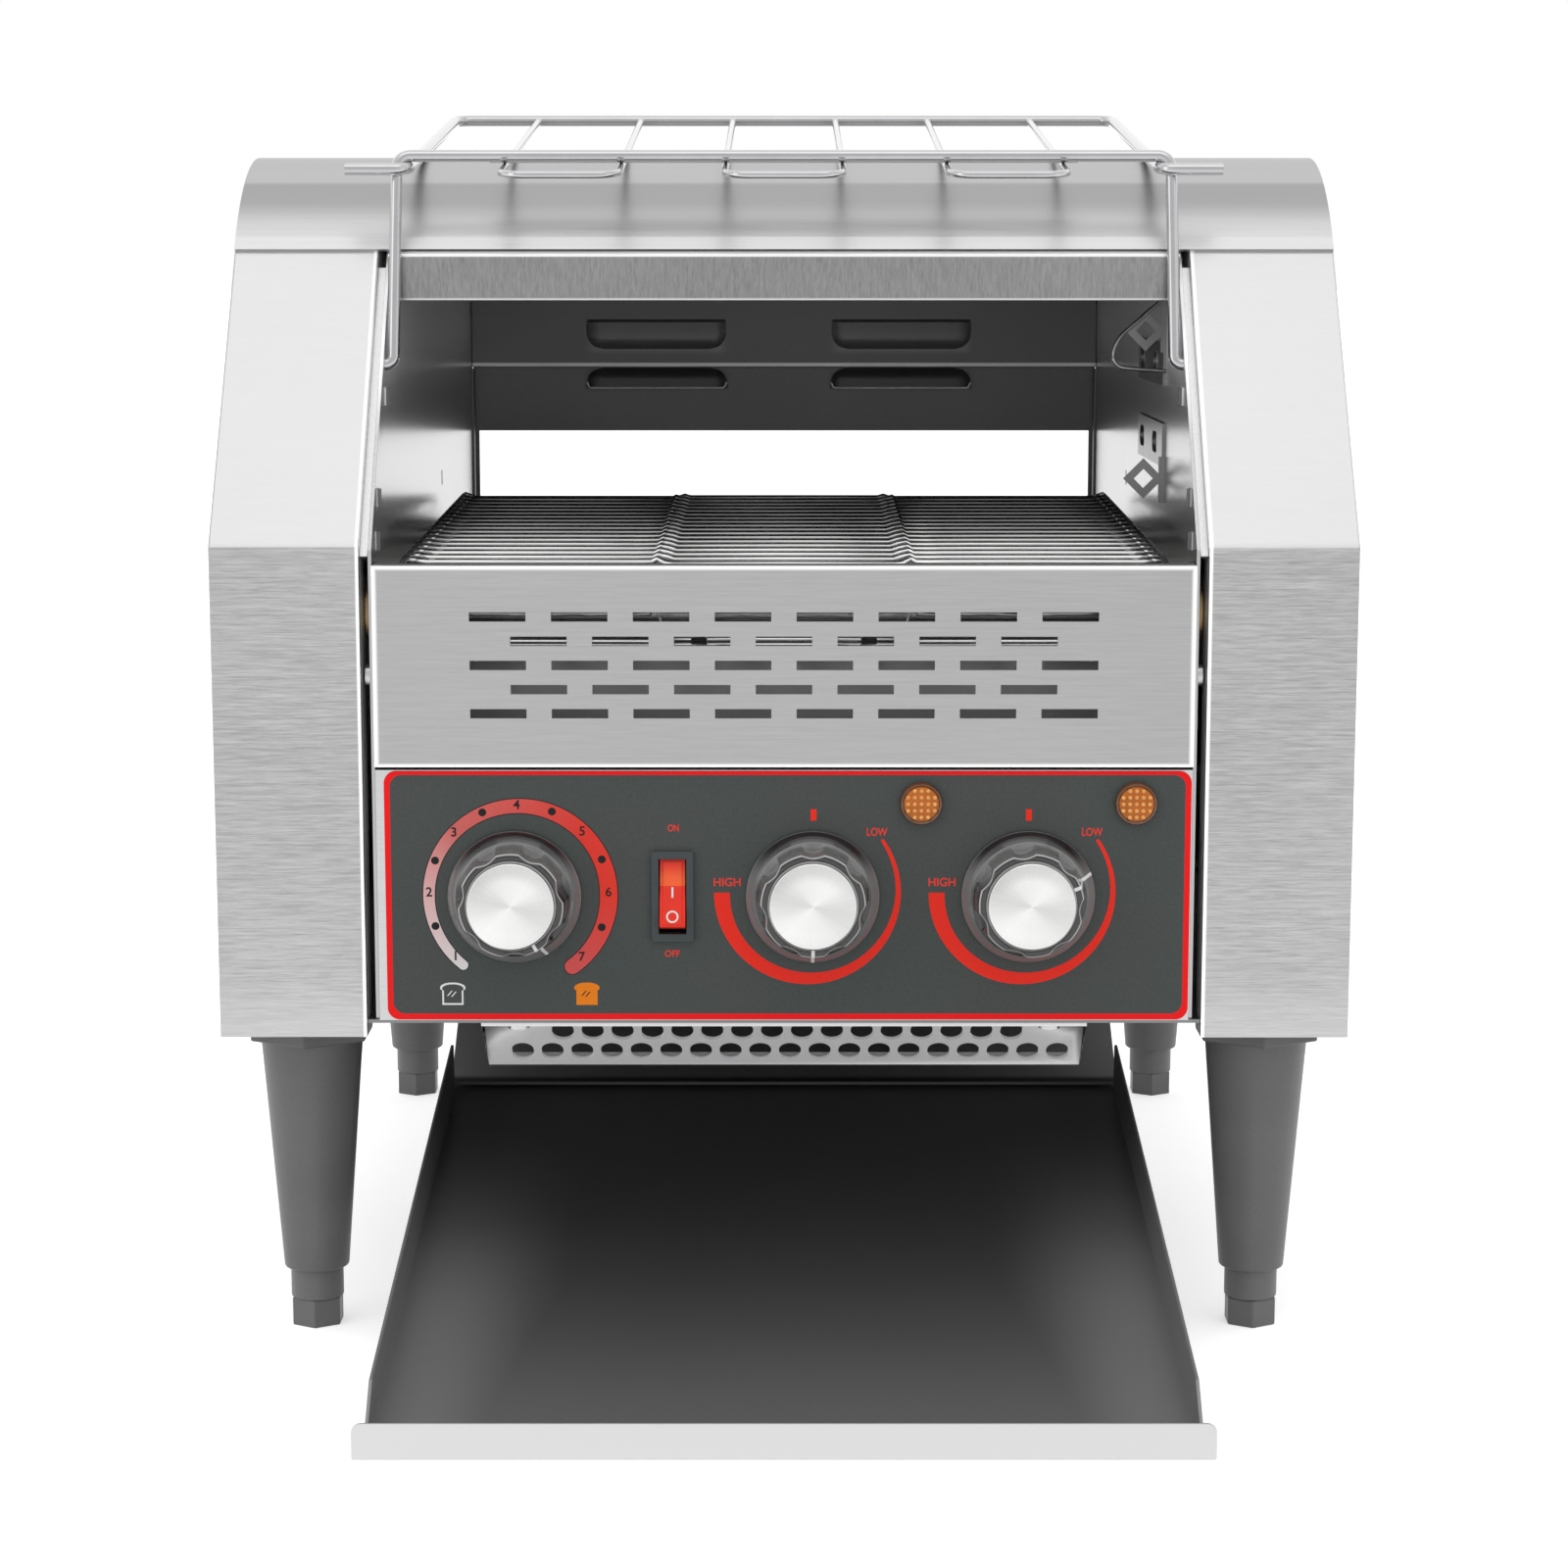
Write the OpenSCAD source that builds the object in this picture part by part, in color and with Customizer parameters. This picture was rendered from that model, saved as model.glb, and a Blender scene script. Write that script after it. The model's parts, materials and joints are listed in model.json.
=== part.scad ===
// Countertop conveyor toaster: bread rides a wire belt between two rows of heater tubes,
// drops behind the belt onto a return chute and slides forward onto the exit tray.
// X runs to the right, Y to the back and Z up. The pieces are modelled with Y = 0 on the
// front face of the side covers, then moved so that the origin is at the base's centre.

/* [Body] */
// Width over both side covers
body_w = 368; // [360:1:400]
// Depth from the front face of the side covers to the rear edge
body_d = 373; // [360:1:410]
// Height of the base's underside over the table
base_z = 109.5; // [102:0.5:115]
// Height of the roof's top over the table
roof_top_z = 391; // [386:1:400]
// Thickness of the stainless sheet
sheet = 1.2; // [0.8:0.1:1.5]

/* [Side covers] */
// Width of a side cover's front face
cover_w = 48; // [46:1:56]
// How far the side covers hang below the base's underside
cover_drop = 4.5; // [0:0.5:8]
// Height at which the front face turns into the slanted face
knee_z = 265; // [258:1:270]
// Depth of the slanted face
slope_run = 69; // [64:1:72]
// Angle of the slanted face from the level
slope_deg = 53.6; // [50:0.1:55]
// Depth of the covers' return flanges
return_w = 14; // [10:1:18]
// Depth of the roof's rear flange
roof_flange = 22; // [12:1:30]

/* [Conveyor] */
// Gap between the wire belt and a side wall
belt_gap = 7.2; // [6.2:0.1:22.2]
// Diameter of the belt's wire
belt_wire = 2.2; // [1.6:0.1:2.6]
// Distance between neighbouring belt wires
belt_pitch = 12.7; // [11:0.1:16]
// Radius of the belt's wire centres round the shafts
belt_r = 14.9; // [14:0.1:16]
// Depth of the drive shaft behind the front face
drive_y = 24; // [22:0.5:28]
// Height of the drive shaft
drive_z = 243; // [238:1:246]
// Depth of the idler shaft behind the front face
idler_y = 240; // [220:1:244]
// Height of the idler shaft
idler_z = 249; // [244:1:252]
// Radius of both conveyor shafts
shaft_r = 5; // [4:0.5:6]

/* [Chain drive] */
// Teeth on the drive shaft's sprocket
drive_teeth = 16; // [14:2:18]
// Teeth on the motor's sprocket
motor_teeth = 8; // [8:2:10]
// Pitch of the roller chain
chain_pitch = 6.35; // [6:0.05:6.5]
// Depth of the motor's axis behind the front face
motor_y = 70; // [66:1:90]
// Height of the motor's axis
motor_z = 150; // [140:1:158]
// Radius of the gear motor
motor_r = 18.5; // [16:0.5:22]
// Length of the gear motor
motor_len = 66; // [50:1:80]

/* [Heaters] */
// Radius of a heater tube
heater_r = 4; // [3:0.5:5]
// Height of the upper heater tubes
upper_heater_z = 352; // [350:1:356]
// How far the upper tubes stand behind the lower ones
upper_heater_back = 24; // [22:1:30]
// Distance between neighbouring heater tubes
heater_pitch = 60; // [50:1:62]
// Heater tubes in each row
heater_count = 3; // [2:1:3]

/* [Front] */
// Height of the slotted panel
slotted_h = 65; // [60:1:66]
// Width of a slot in the slotted panel
slot_w = 18; // [10:1:20]
// Height of a slot in the slotted panel
slot_h = 2.9; // [2:0.1:4]
// Distance between slots in a row
slot_pitch = 26.2; // [24:0.1:28]
// Distance between the rows of slots
slot_row_pitch = 7.8; // [6:0.1:9]
// Slots in the longest row
slot_count = 8; // [5:1:8]
// Height of the control panel
control_h = 82.6; // [80:0.1:83]
// Bare strip of the control panel left of the printed film
film_left_gap = 2.7; // [0.3:0.1:6]
// Bare strip of the control panel right of the printed film
film_right_gap = 0.3; // [0.3:0.1:6]
// Thickness of the printed front film
film_t = 0.4; // [0.3:0.1:0.6]

/* [Controls] */
// Radius of a knob's skirt
knob_r = 21.6; // [18:0.1:23]
// Radius of a knob's metal cap
knob_cap_r = 14.1; // [10:0.1:15]
// How far a knob stands out of the film
knob_h = 19.5; // [16:0.5:24]
// Radius of a control's spindle
spindle_r = 3; // [2:0.5:3.5]
// Height of the knobs over the control panel's lower edge
knob_up = 41.3; // [36:0.1:44]
// Height of the lamps over the control panel's lower edge
lamp_up = 71.8; // [68:0.1:73]
// Radius of a lamp's lens
lamp_r = 6.95; // [5:0.05:7.5]
// Width of the rocker switch's bezel
switch_w = 13.6; // [12:0.1:16]
// Height of the rocker switch's bezel
switch_h = 29.7; // [26:0.1:32]
// Tilt of the rocker's paddle to either side
rocker_tilt = 11; // [6:1:12]

/* [Legs] */
// Distance of a leg's axis from the body's side
leg_inset = 26; // [24:1:30]
// Depth of the front legs behind the front face
leg_front_y = 28.5; // [26:0.5:60]
// Depth of the rear legs in front of the rear edge
leg_rear_inset = 24.5; // [24:0.5:60]
// Radius of a leg at its top
leg_top_r = 17; // [15:0.5:18]
// Radius of a leg at its lower end
leg_low_r = 10.8; // [10.6:0.1:12]
// Height of a leg's lower end over the table
leg_low_z = 20; // [16:1:24]
// Radius of an adjustable foot's collar
collar_r = 8.8; // [7:0.1:9.2]
// Width of a foot's hexagon across its flats
foot_flats = 15.9; // [14:0.1:16]
// Radius of a foot's threaded stem
stem_r = 5; // [4:0.5:6]
// How far a foot screws in from where it stands
foot_in = 10; // [4:1:10]
// How far a foot screws out from where it stands
foot_out = 15; // [5:1:20]

/* [Exit] */
// How far the tray's lip stands in front of the front face
tray_reach = 107; // [80:1:140]
// How far the tray's side stands in from the side wall
tray_gap = 5.2; // [5.2:0.1:17.2]
// How far the tray's lip stands out past its side
lip_over = 3; // [1:0.5:4]
// Height of the tray's lip
lip_h = 11.4; // [8:0.1:16]
// Height of the tray's side walls
tray_side = 15; // [8:1:20]
// Depth of the tray's rear edge behind the front face
tray_back_y = 188; // [180:1:196]
// Height of the tray's rear edge over the table
tray_back_z = 42; // [36:1:46]
// Slope of the return chute
chute_deg = 30; // [26:0.5:30]
// Width of the perforated exit guard
guard_w = 198; // [180:1:220]
// Length of the exit guard down its slope
guard_len = 26.5; // [24:0.5:32]
// Slope of the exit guard
guard_deg = 48; // [40:1:55]

/* [Feed rack] */
// Radius of the rack's main wire
rack_r = 2; // [1.5:0.1:2.2]
// Radius of the rack's cross wires
loop_r = 1.25; // [1:0.05:1.5]
// Depth of the rack's pivot behind the front face
pivot_y = 50; // [49:0.5:52]
// Height of the rack's pivot under the slope's top
pivot_drop = 37; // [36:0.5:38]
// Length of the bail from its pivot to its bar
bail_len = 71.4; // [68:0.1:76]
// Slope of the rack's grid at rest
grid_deg = 7.25; // [6:0.05:9]
// Length of the rack's grid behind the bail
grid_len = 170.4; // [150:0.1:180]
// Reach of the cross wires' loops in front of the bail
loop_reach = 23.2; // [16:0.1:24]
// Distance between the cross wires' loops
loop_pitch = 74; // [66:1:76]
// Width of a cross wire's loop
loop_w = 39; // [30:1:42]

/* [Cooling fan] */
// Width of the fan's square frame
fan_w = 40; // [36:1:42]
// Depth of the fan's frame
fan_d = 15; // [12:1:20]
// Height of the fan's axis
fan_z = 160; // [140:1:200]

/* [Hidden] */
$fn = 48;

// Clearances
run_fit = 0.05;     // radial gap of a turning or sliding fit
seat_gap = 0.3;     // gap between a moving piece and what it runs close to
edge_gap = 2.6;     // gap between a side wall and a cover's return flange
cut = 1;            // how far a cutter runs past the face it opens

// The side walls and covers, across X
cover_in = body_w / 2 - cover_w;
wall_out = cover_in - edge_gap;
wall_in = wall_out - sheet;
panel_half = wall_in - seat_gap;
film_x = (film_left_gap - film_right_gap) / 2;
film_w = 2 * panel_half - film_left_gap - film_right_gap;
belt_w = 2 * (wall_in - belt_gap);
tray_w = 2 * (wall_in - tray_gap);
lip_w = tray_w + 2 * lip_over;

// The covers' outline
slope_top = [slope_run, knee_z + slope_run * tan(slope_deg)];
roof_r = (roof_top_z - sheet - slope_top.y) / (1 - cos(slope_deg));
roof_c = slope_top + roof_r * [sin(slope_deg), -cos(slope_deg)];
wall_inset = 3;

// The place of the whole part: the tray's lip is its front, the cable gland its back
gland_out = 12;
back_y = body_d + gland_out;
mid_y = (back_y - tray_reach) / 2;

base_top = base_z + sheet;
belt_half = belt_r + belt_wire / 2;
belt_run = norm([idler_y - drive_y, idler_z - drive_z]);
belt_tilt = atan2(idler_z - drive_z, idler_y - drive_y);
belt_front_y = drive_y - belt_half;
slotted_top = drive_z + belt_half + 0.5;
slotted_z = slotted_top - slotted_h;
control_z = base_top;
knob_z = control_z + knob_up;
lamp_z = control_z + lamp_up;
film_y = 0;
control_y = film_y + film_t;
slotted_y = -2;

// Columns of the controls, which are spread over the panel's half width
speed_x = -0.662 * panel_half;
switch_x = -0.274 * panel_half;
upper_x = 0.0705 * panel_half;
lower_x = 0.6 * panel_half;
lamp_x = [0.336 * panel_half, 0.862 * panel_half];

leg_x = body_w / 2 - leg_inset;
leg_y = [leg_front_y, body_d - leg_rear_inset];
flange_t = 10;

chute_half = tray_w / 2 + 0.2;
lip_t = sheet;
tray_slope = atan2(tray_back_z, tray_reach + tray_back_y - lip_t);
chute_y = tray_back_y - 5;
chute_z = tray_back_z + sheet + seat_gap;
drop_y = idler_y + belt_half + 4;

chain_x = cover_in + 14;
sprocket_t = 2.8;
roller_r = 1.65;
pivot_z = slope_top.y - pivot_drop;
bail_x = wall_in - rack_r - 0.9;

// ---------- general shapes ----------

// Extrudes an outline drawn in Y and Z from x0 to x1
module along_x(x0, x1) translate([x0, 0, 0]) rotate([90, 0, 90]) linear_extrude(x1 - x0) children();

// Extrudes an outline drawn in X and Z from y0 to y1
module along_y(y0, y1) translate([0, y1, 0]) rotate([90, 0, 0]) linear_extrude(y1 - y0) children();

module box_between(low, high) translate(low) cube(high - low);

module rod_x(x0, x1, y, z, r) translate([x0, y, z]) rotate([0, 90, 0]) cylinder(h = x1 - x0, r = r);

module rod_y(y0, y1, x, z, r) translate([x, y1, z]) rotate([90, 0, 0]) cylinder(h = y1 - y0, r = r);

module obround(w, h) {
  if (w > h) for (side = [-1, 1]) translate([side * (w - h) / 2, 0]) circle(h / 2);
  else for (side = [-1, 1]) translate([0, side * (h - w) / 2]) circle(w / 2);
  square([w > h ? w - h : w, w > h ? h : h - w], center = true);
}

module rounded_square(w, h, r) {
  square([w - 2 * r, h], center = true);
  square([w, h - 2 * r], center = true);
  for (x = [-1, 1], y = [-1, 1]) translate([x * (w / 2 - r), y * (h / 2 - r)]) circle(r);
}

module both_sides() {
  children();
  mirror([1, 0, 0]) children();
}

function direction(a, b) = (b - a) / norm(b - a);
function turn(a, b) = atan2(a.x * b.y - a.y * b.x, a * b);

// A round wire of radius r through points of the XY plane, bent to the radius in bends at each
module bent_wire(points, r, bends) {
  last = len(points) - 1;
  trims = [for (i = [0:last]) i == 0 || i == last ? 0 :
    bends[i] * tan(abs(turn(direction(points[i - 1], points[i]), direction(points[i], points[i + 1]))) / 2)];
  for (i = [0:last - 1]) {
    along = direction(points[i], points[i + 1]);
    start = points[i] + along * trims[i];
    length = norm(points[i + 1] - points[i]) - trims[i] - trims[i + 1];
    translate([start.x, start.y, 0]) rotate([0, 0, atan2(along.y, along.x)]) rotate([0, 90, 0])
      cylinder(h = length, r = r);
  }
  for (i = [1:1:last - 1]) {
    before = direction(points[i - 1], points[i]);
    angle = turn(before, direction(points[i], points[i + 1]));
    side = sign(angle);
    bend = bends[i];
    centre = points[i] - before * trims[i] + [-before.y, before.x] * bend * side;
    start_deg = atan2(before.y, before.x) - 90 * side;
    translate([centre.x, centre.y, 0]) rotate([0, 0, side > 0 ? start_deg : start_deg + angle])
      rotate_extrude(angle = abs(angle)) translate([bend, 0]) circle(r, $fn = 24);
  }
}

// Height of the covers' knee when the outline is drawn in by inset
function knee_at(inset) = knee_z - inset * cos(slope_deg) + inset * (1 - sin(slope_deg)) * tan(slope_deg);

// The body's side outline in Y and Z, drawn in by inset, down to the height low
module body_outline(inset, low) {
  slope = [cos(slope_deg), sin(slope_deg)];
  top_in = slope_top + inset * [slope.y, -slope.x];
  top = roof_top_z - sheet - inset;
  apex = top_in + slope * (top - top_in.y) / slope.y;
  difference() {
    polygon([[inset, low], [inset, knee_at(inset)], apex, [body_d - inset, top], [body_d - inset, low]]);
    difference() {
      polygon([top_in, top_in + cut * [-slope.y, slope.x], apex + cut * [-1, 2], [roof_c.x, top + cut],
        [roof_c.x, top]]);
      translate(roof_c) circle(roof_r - inset, $fn = 96);
    }
  }
}

// ---------- casing ----------

module base_pan() {
  rim = 15;
  half = body_w / 2 - sheet;
  front = sheet + 0.4;
  back = body_d - sheet;
  color("silver") difference() {
    union() {
      box_between([-half, front, base_z], [half, back, base_top]);
      both_sides() box_between([half - sheet, front, base_z], [half, back, base_top + rim]);
    }
    box_between([-chute_half - 1, drop_y, base_z - cut], [chute_half + 1, back - 6, base_top + cut]);
    for (x = [-leg_x, leg_x], y = leg_y) translate([x, y, base_z - cut]) cylinder(h = sheet + 2 * cut, r = stud_r + 0.2);
    for (i = [-5:5]) translate([i * 18, 150, base_z - cut]) linear_extrude(sheet + 2 * cut) obround(4, 40);
    // notches that the covers' return flanges pass through
    both_sides() for (y = [0, body_d - return_w])
      box_between([cover_in - run_fit, y - run_fit, base_z - cut],
        [cover_in + sheet + run_fit, y + return_w + run_fit, base_top + cut]);
  }
}

module side_wall() {
  color("gainsboro") difference() {
    along_x(wall_in, wall_out) body_outline(wall_inset, base_top);
    for (shaft = [[drive_y, drive_z], [idler_y, idler_z]])
      rod_x(wall_in - cut, wall_out + cut, shaft.x, shaft.y, bush_r);
    for (place = heater_places) rod_x(wall_in - cut, wall_out + cut, place.x, place.y, heater_r + 1);
    rod_x(wall_in - cut, wall_out + cut, pivot_y, pivot_z, rack_r + run_fit);
    rod_x(wall_in - cut, wall_out + cut, slotted_screw_y, slotted_screw_z, screw_r + 0.1);
    rod_x(wall_in - cut, wall_out + cut, motor_y, motor_z, motor_boss_r + 0.5);
    for (place = hook_places) box_between([wall_in - cut, place.x, place.y - hook_h / 2],
      [wall_out + cut, place.x + hook_slot, place.y + hook_h / 2]);
    box_between([wall_in - cut, idler_y - 8, idler_z + 20.5], [wall_out + cut, idler_y - 5, idler_z + 26]);
  }
  // lanced hooks that stand inward at the slots' front edges
  color("gainsboro") for (place = hook_places) box_between([wall_in - hook_out, place.x - hook_t, place.y - hook_h / 2],
    [wall_out, place.x, place.y + hook_h / 2]);
}

hook_places = [[pivot_y, pivot_z - 10.6], [drive_y - 2, drive_z + 36.5], [drive_y - 8, drive_z + 23]];
hook_h = 6;
hook_slot = 3.5;
hook_out = 1.5;
hook_t = 1;

module side_wall_right() side_wall();
module side_wall_left() mirror([1, 0, 0]) side_wall();

module side_cover(rear_cuts) {
  low = base_z - cover_drop;
  difference() {
    along_x(cover_in, body_w / 2) body_outline(0, low);
    along_x(cover_in + sheet, body_w / 2 - sheet) body_outline(sheet, low - cut);
    along_x(cover_in - cut, cover_in + sheet + cut) body_outline(return_w, low - cut);
    // louvre slots low in the side face
    for (i = [0:9]) box_between([body_w / 2 - sheet - cut, 120 + i * 14, 130], [body_w / 2 + cut, 124 + i * 14, 175]);
    if (rear_cuts == "fan") {
      for (r = [6, 11, 16]) rod_ring(r);
    } else {
      rod_y(body_d - sheet - cut, body_d + cut, gland_x, gland_z, gland_r + 0.1);
    }
  }
}

// One ring of round holes through the rear face of the right cover, in front of the fan
module rod_ring(r) {
  holes = round(2 * PI * r / 6);
  for (i = [0:holes - 1])
    rod_y(body_d - sheet - cut, body_d + cut, fan_x + r * cos(i * 360 / holes), fan_z + r * sin(i * 360 / holes), 2.1);
}

module side_cover_right() color("gainsboro") side_cover("fan");
module side_cover_left() color("gainsboro") mirror([1, 0, 0]) side_cover("gland");

module roof() {
  half = body_w / 2;
  hem_r = 1.6;
  color("silver") {
    along_x(-half, half) intersection() {
      difference() {
        body_outline(-sheet, base_z);
        body_outline(0, base_z - cut);
      }
      union() {
        intersection() {
          translate(slope_top) rotate(slope_deg) translate([0, -body_d]) square([2 * body_d, 2 * body_d]);
          translate([0, base_z]) square([roof_c.x, roof_top_z]);
        }
        translate([roof_c.x, roof_top_z - roof_flange]) square([body_d, 2 * roof_flange]);
      }
    }
    // rolled hem under the front edge, between the covers
    along_x(-cover_in + 5, cover_in - 5) translate(slope_top + hem_r * [sin(slope_deg), -cos(slope_deg)])
      circle(hem_r, $fn = 24);
  }
}

header_y = slope_run - 5;
header_top = slope_top.y - 0.8;
header_h = 15.5;

module front_header() {
  low = header_top - header_h;
  lip = 12;
  side = 14;
  color("silver") {
    box_between([-wall_in, header_y, low], [wall_in, header_y + sheet, header_top]);
    box_between([-wall_in, header_y, low], [wall_in, header_y + lip, low + sheet]);
    both_sides() box_between([wall_in - sheet, header_y, low], [wall_in, header_y + side, header_top]);
  }
}

rear_low_z = 283;
rear_fold_z = 310;
rear_joggle = 5;

module rear_panel() {
  y = body_d - sheet;
  fold_y = y - rear_joggle;
  rib = 1.6;
  top = roof_top_z - sheet;
  color("dimgray") difference() {
    union() {
      box_between([-wall_in, y, rear_low_z], [wall_in, body_d, rear_fold_z + sheet]);
      box_between([-wall_in, fold_y, rear_fold_z], [wall_in, body_d, rear_fold_z + sheet]);
      box_between([-wall_in, fold_y, rear_fold_z], [wall_in, fold_y + sheet, top]);
      box_between([-wall_in, fold_y, top - sheet], [wall_in, body_d, top]);
      // pressed ribs and hooded louvres, two of each
      for (x = [-1, 1]) {
        along_y(fold_y - rib, fold_y) translate([x * 48 - 3, 330]) obround(54, 9);
        along_y(y - rib, y) translate([x * 48 - 3, 299]) obround(55, 6);
      }
    }
    for (x = [-1, 1]) along_y(y - rib - cut, body_d + cut) translate([x * 48 - 3, 300]) obround(50, 1.6);
  }
}

module rear_lower_cover() {
  top = 246;
  low = base_top;
  y = body_d - sheet;
  color("silver") difference() {
    union() {
      box_between([-wall_in, y, low], [wall_in, body_d, top]);
      box_between([-wall_in, y - 8, top - sheet], [wall_in, body_d, top]);
    }
    for (row = [0:3], i = [-4:4])
      translate([i * 26, body_d + cut, 190 + row * 12]) rotate([90, 0, 0]) linear_extrude(sheet + 2 * cut) obround(18, 3);
  }
}

module slotted_panel() {
  half = panel_half;
  side = 16;
  back = min(side, belt_front_y - slotted_y - 1);
  mid = slotted_top - slotted_h / 2 + 0.5;
  color("silver") difference() {
    union() {
      box_between([-half, slotted_y, slotted_z], [half, slotted_y + sheet, slotted_top]);
      box_between([-half, slotted_y, slotted_top - sheet], [half, slotted_y + back, slotted_top]);
      box_between([-half, slotted_y, slotted_z], [half, slotted_y + side / 2, slotted_z + sheet]);
      both_sides() box_between([half - sheet, slotted_y, slotted_z], [half, slotted_y + side, slotted_top]);
    }
    for (row = [-2:2]) {
      count = slot_count - abs(row % 2);
      for (i = [0:count - 1])
        along_y(slotted_y - cut, slotted_y + sheet + cut)
          translate([(i - (count - 1) / 2) * slot_pitch, mid + row * slot_row_pitch])
            square([slot_w, slot_h], center = true);
    }
    both_sides() rod_x(half - sheet - cut, half + cut, slotted_screw_y, slotted_screw_z, screw_r + 0.1);
  }
}

module control_holes() {
  for (x = [speed_x, upper_x, lower_x]) translate([x, knob_z]) circle(spindle_r + 1);
  for (x = lamp_x) translate([x, lamp_z]) circle(lamp_r - 1);
  translate([switch_x, knob_z]) square([switch_w - 2, switch_h - 2.4], center = true);
}

module control_panel() {
  half = panel_half;
  flange = 10;
  top = control_z + control_h;
  color("gainsboro") {
    difference() {
      along_y(control_y, control_y + sheet) difference() {
        translate([-half, control_z]) square([2 * half, control_h]);
        control_holes();
      }
    }
    box_between([-half, control_y, control_z], [half, control_y + flange, control_z + sheet]);
    box_between([-half, control_y, top - sheet], [half, control_y + flange, top]);
    both_sides() box_between([half - sheet, control_y, control_z], [half, control_y + flange, top]);
  }
}

module control_film() {
  height = control_h - 0.6;
  color("darkslategray") along_y(film_y, control_y) difference() {
    translate([film_x, control_z + control_h / 2]) rounded_square(film_w, height, 4);
    control_holes();
  }
}

// ---------- exit ----------

module exit_guard() {
  top_y = 12;
  tab = 10;
  end = 3;
  pitch = 9.9;
  hole_w = 7.3;
  hole_h = 9.6;
  color("silver") difference() {
    union() {
      box_between([-guard_w / 2, top_y - tab, base_z - sheet], [guard_w / 2, top_y, base_z]);
      guard_plane(top_y) box_between([-guard_w / 2, 0, -sheet], [guard_w / 2, guard_len, 0]);
      guard_plane(top_y) box_between([-guard_w / 2, guard_len - sheet, -sheet], [guard_w / 2, guard_len, end]);
    }
    guard_plane(top_y) for (i = [0:18]) translate([(i - 8.8) * pitch, guard_len - 7.8, -sheet - cut])
      linear_extrude(sheet + 2 * cut) obround(hole_w, hole_h);
    guard_plane(top_y) for (i = [0:15]) translate([(i - 7.4) * pitch, guard_len - 19.3, -sheet - cut])
      linear_extrude(sheet + 2 * cut) obround(hole_w, hole_h);
  }
}

// The guard's own plane: its second axis runs down the slope, its third out of the front
module guard_plane(top_y) translate([0, top_y, base_z]) rotate([-guard_deg, 0, 0]) children();

chute_back_y = body_d - sheet;
chute_top_z = chute_z + (chute_back_y - chute_y) * tan(chute_deg);

module return_chute() {
  side_y = 236;
  rim = 12;
  under = base_z;
  t = sheet / cos(chute_deg);
  rise = tan(chute_deg);
  // the tray's rear edge runs in a pocket under the chute's lower end
  pocket_y = tray_back_y - 14;
  pocket_back = tray_back_y + 4;
  tray_rise = tan(tray_slope);
  pocket_z = tray_back_z - seat_gap - (tray_back_y - pocket_y) * tray_rise;
  color("silver") {
    along_x(-chute_half, chute_half) polygon([[chute_y, chute_z], [chute_back_y, chute_top_z],
      [chute_back_y, chute_top_z + t], [chute_y, chute_z + t]]);
    // side plates carry the chute from the base
    both_sides() along_x(chute_half - sheet, chute_half) polygon([
      [side_y, chute_z + (side_y - chute_y) * rise], [chute_back_y, chute_top_z],
      [chute_back_y, chute_top_z + t + rim], [drop_y + 8, max(under, chute_z + (drop_y + 8 - chute_y) * rise + rim)],
      [drop_y + 8, under], [side_y, under]]);
    along_x(-chute_half, chute_half) polygon([[pocket_y, pocket_z - sheet], [pocket_y, pocket_z],
      [tray_back_y + seat_gap, pocket_z + (tray_back_y + seat_gap - pocket_y) * tray_rise],
      [pocket_back, chute_z + (pocket_back - chute_y) * rise + t / 2],
      [pocket_back + 2, chute_z + (pocket_back + 2 - chute_y) * rise + t / 2],
      [pocket_back, pocket_z - sheet + (pocket_back - pocket_y) * tray_rise]]);
  }
}

module exit_tray() {
  half = tray_w / 2;
  front = -tray_reach;
  back = tray_back_y;
  rise = tray_back_z / (back - front - lip_t);
  side_front = front + 22;
  side_back = chute_y - 2;
  function floor_z(y) = (y - front - lip_t) * rise;
  color("dimgray") {
    along_x(-half, half) polygon([[front + lip_t, 0], [back, tray_back_z], [back, tray_back_z + sheet],
      [front + lip_t, sheet]]);
    both_sides() along_x(half - sheet, half) polygon([[front + lip_t, 0], [side_front, floor_z(side_front) + tray_side],
      [side_back, floor_z(side_back) + tray_side + 4], [chute_y - seat_gap, floor_z(chute_y)]]);
    along_y(front, front + lip_t) {
      translate([-lip_w / 2, 0]) square([lip_w, lip_h - 3]);
      translate([-lip_w / 2 + 3, 0]) square([lip_w - 6, lip_h]);
      for (x = [-1, 1]) translate([x * (lip_w / 2 - 3), lip_h - 3]) circle(3);
    }
  }
}

// ---------- heating ----------

heater_y0 = (drive_y + idler_y) / 2;
lower_heater_z = (drive_z + idler_z) / 2;
heater_ys = [for (i = [0:heater_count - 1]) heater_y0 + (i - (heater_count - 1) / 2) * heater_pitch];
heater_places = concat([for (y = heater_ys) [y + upper_heater_back, upper_heater_z]], [for (y = heater_ys) [y, lower_heater_z]]);
insulator_r = heater_r + 4;
insulator_len = 11;

module heater_row(z, shift) {
  for (y = heater_ys) {
    rod_x(-wall_out - 6, wall_out + 6, y + shift, z, heater_r);
    both_sides() rod_x(wall_out + 6, wall_out + insulator_len + 5, y + shift, z, 1.6);
  }
}

module upper_heaters() color("lightgray") heater_row(upper_heater_z, upper_heater_back);
module lower_heaters() color("lightgray") heater_row(lower_heater_z, 0);

// Ceramic sleeves that seat on the outside of the side walls and hold the tubes' ends
module heater_insulators() {
  color("ivory") for (place = heater_places) both_sides() difference() {
    rod_x(wall_out, wall_out + insulator_len, place.x, place.y, insulator_r);
    rod_x(wall_out - cut, wall_out + 6, place.x, place.y, heater_r);
    rod_x(wall_out, wall_out + insulator_len + cut, place.x, place.y, 1.6);
  }
}

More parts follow.
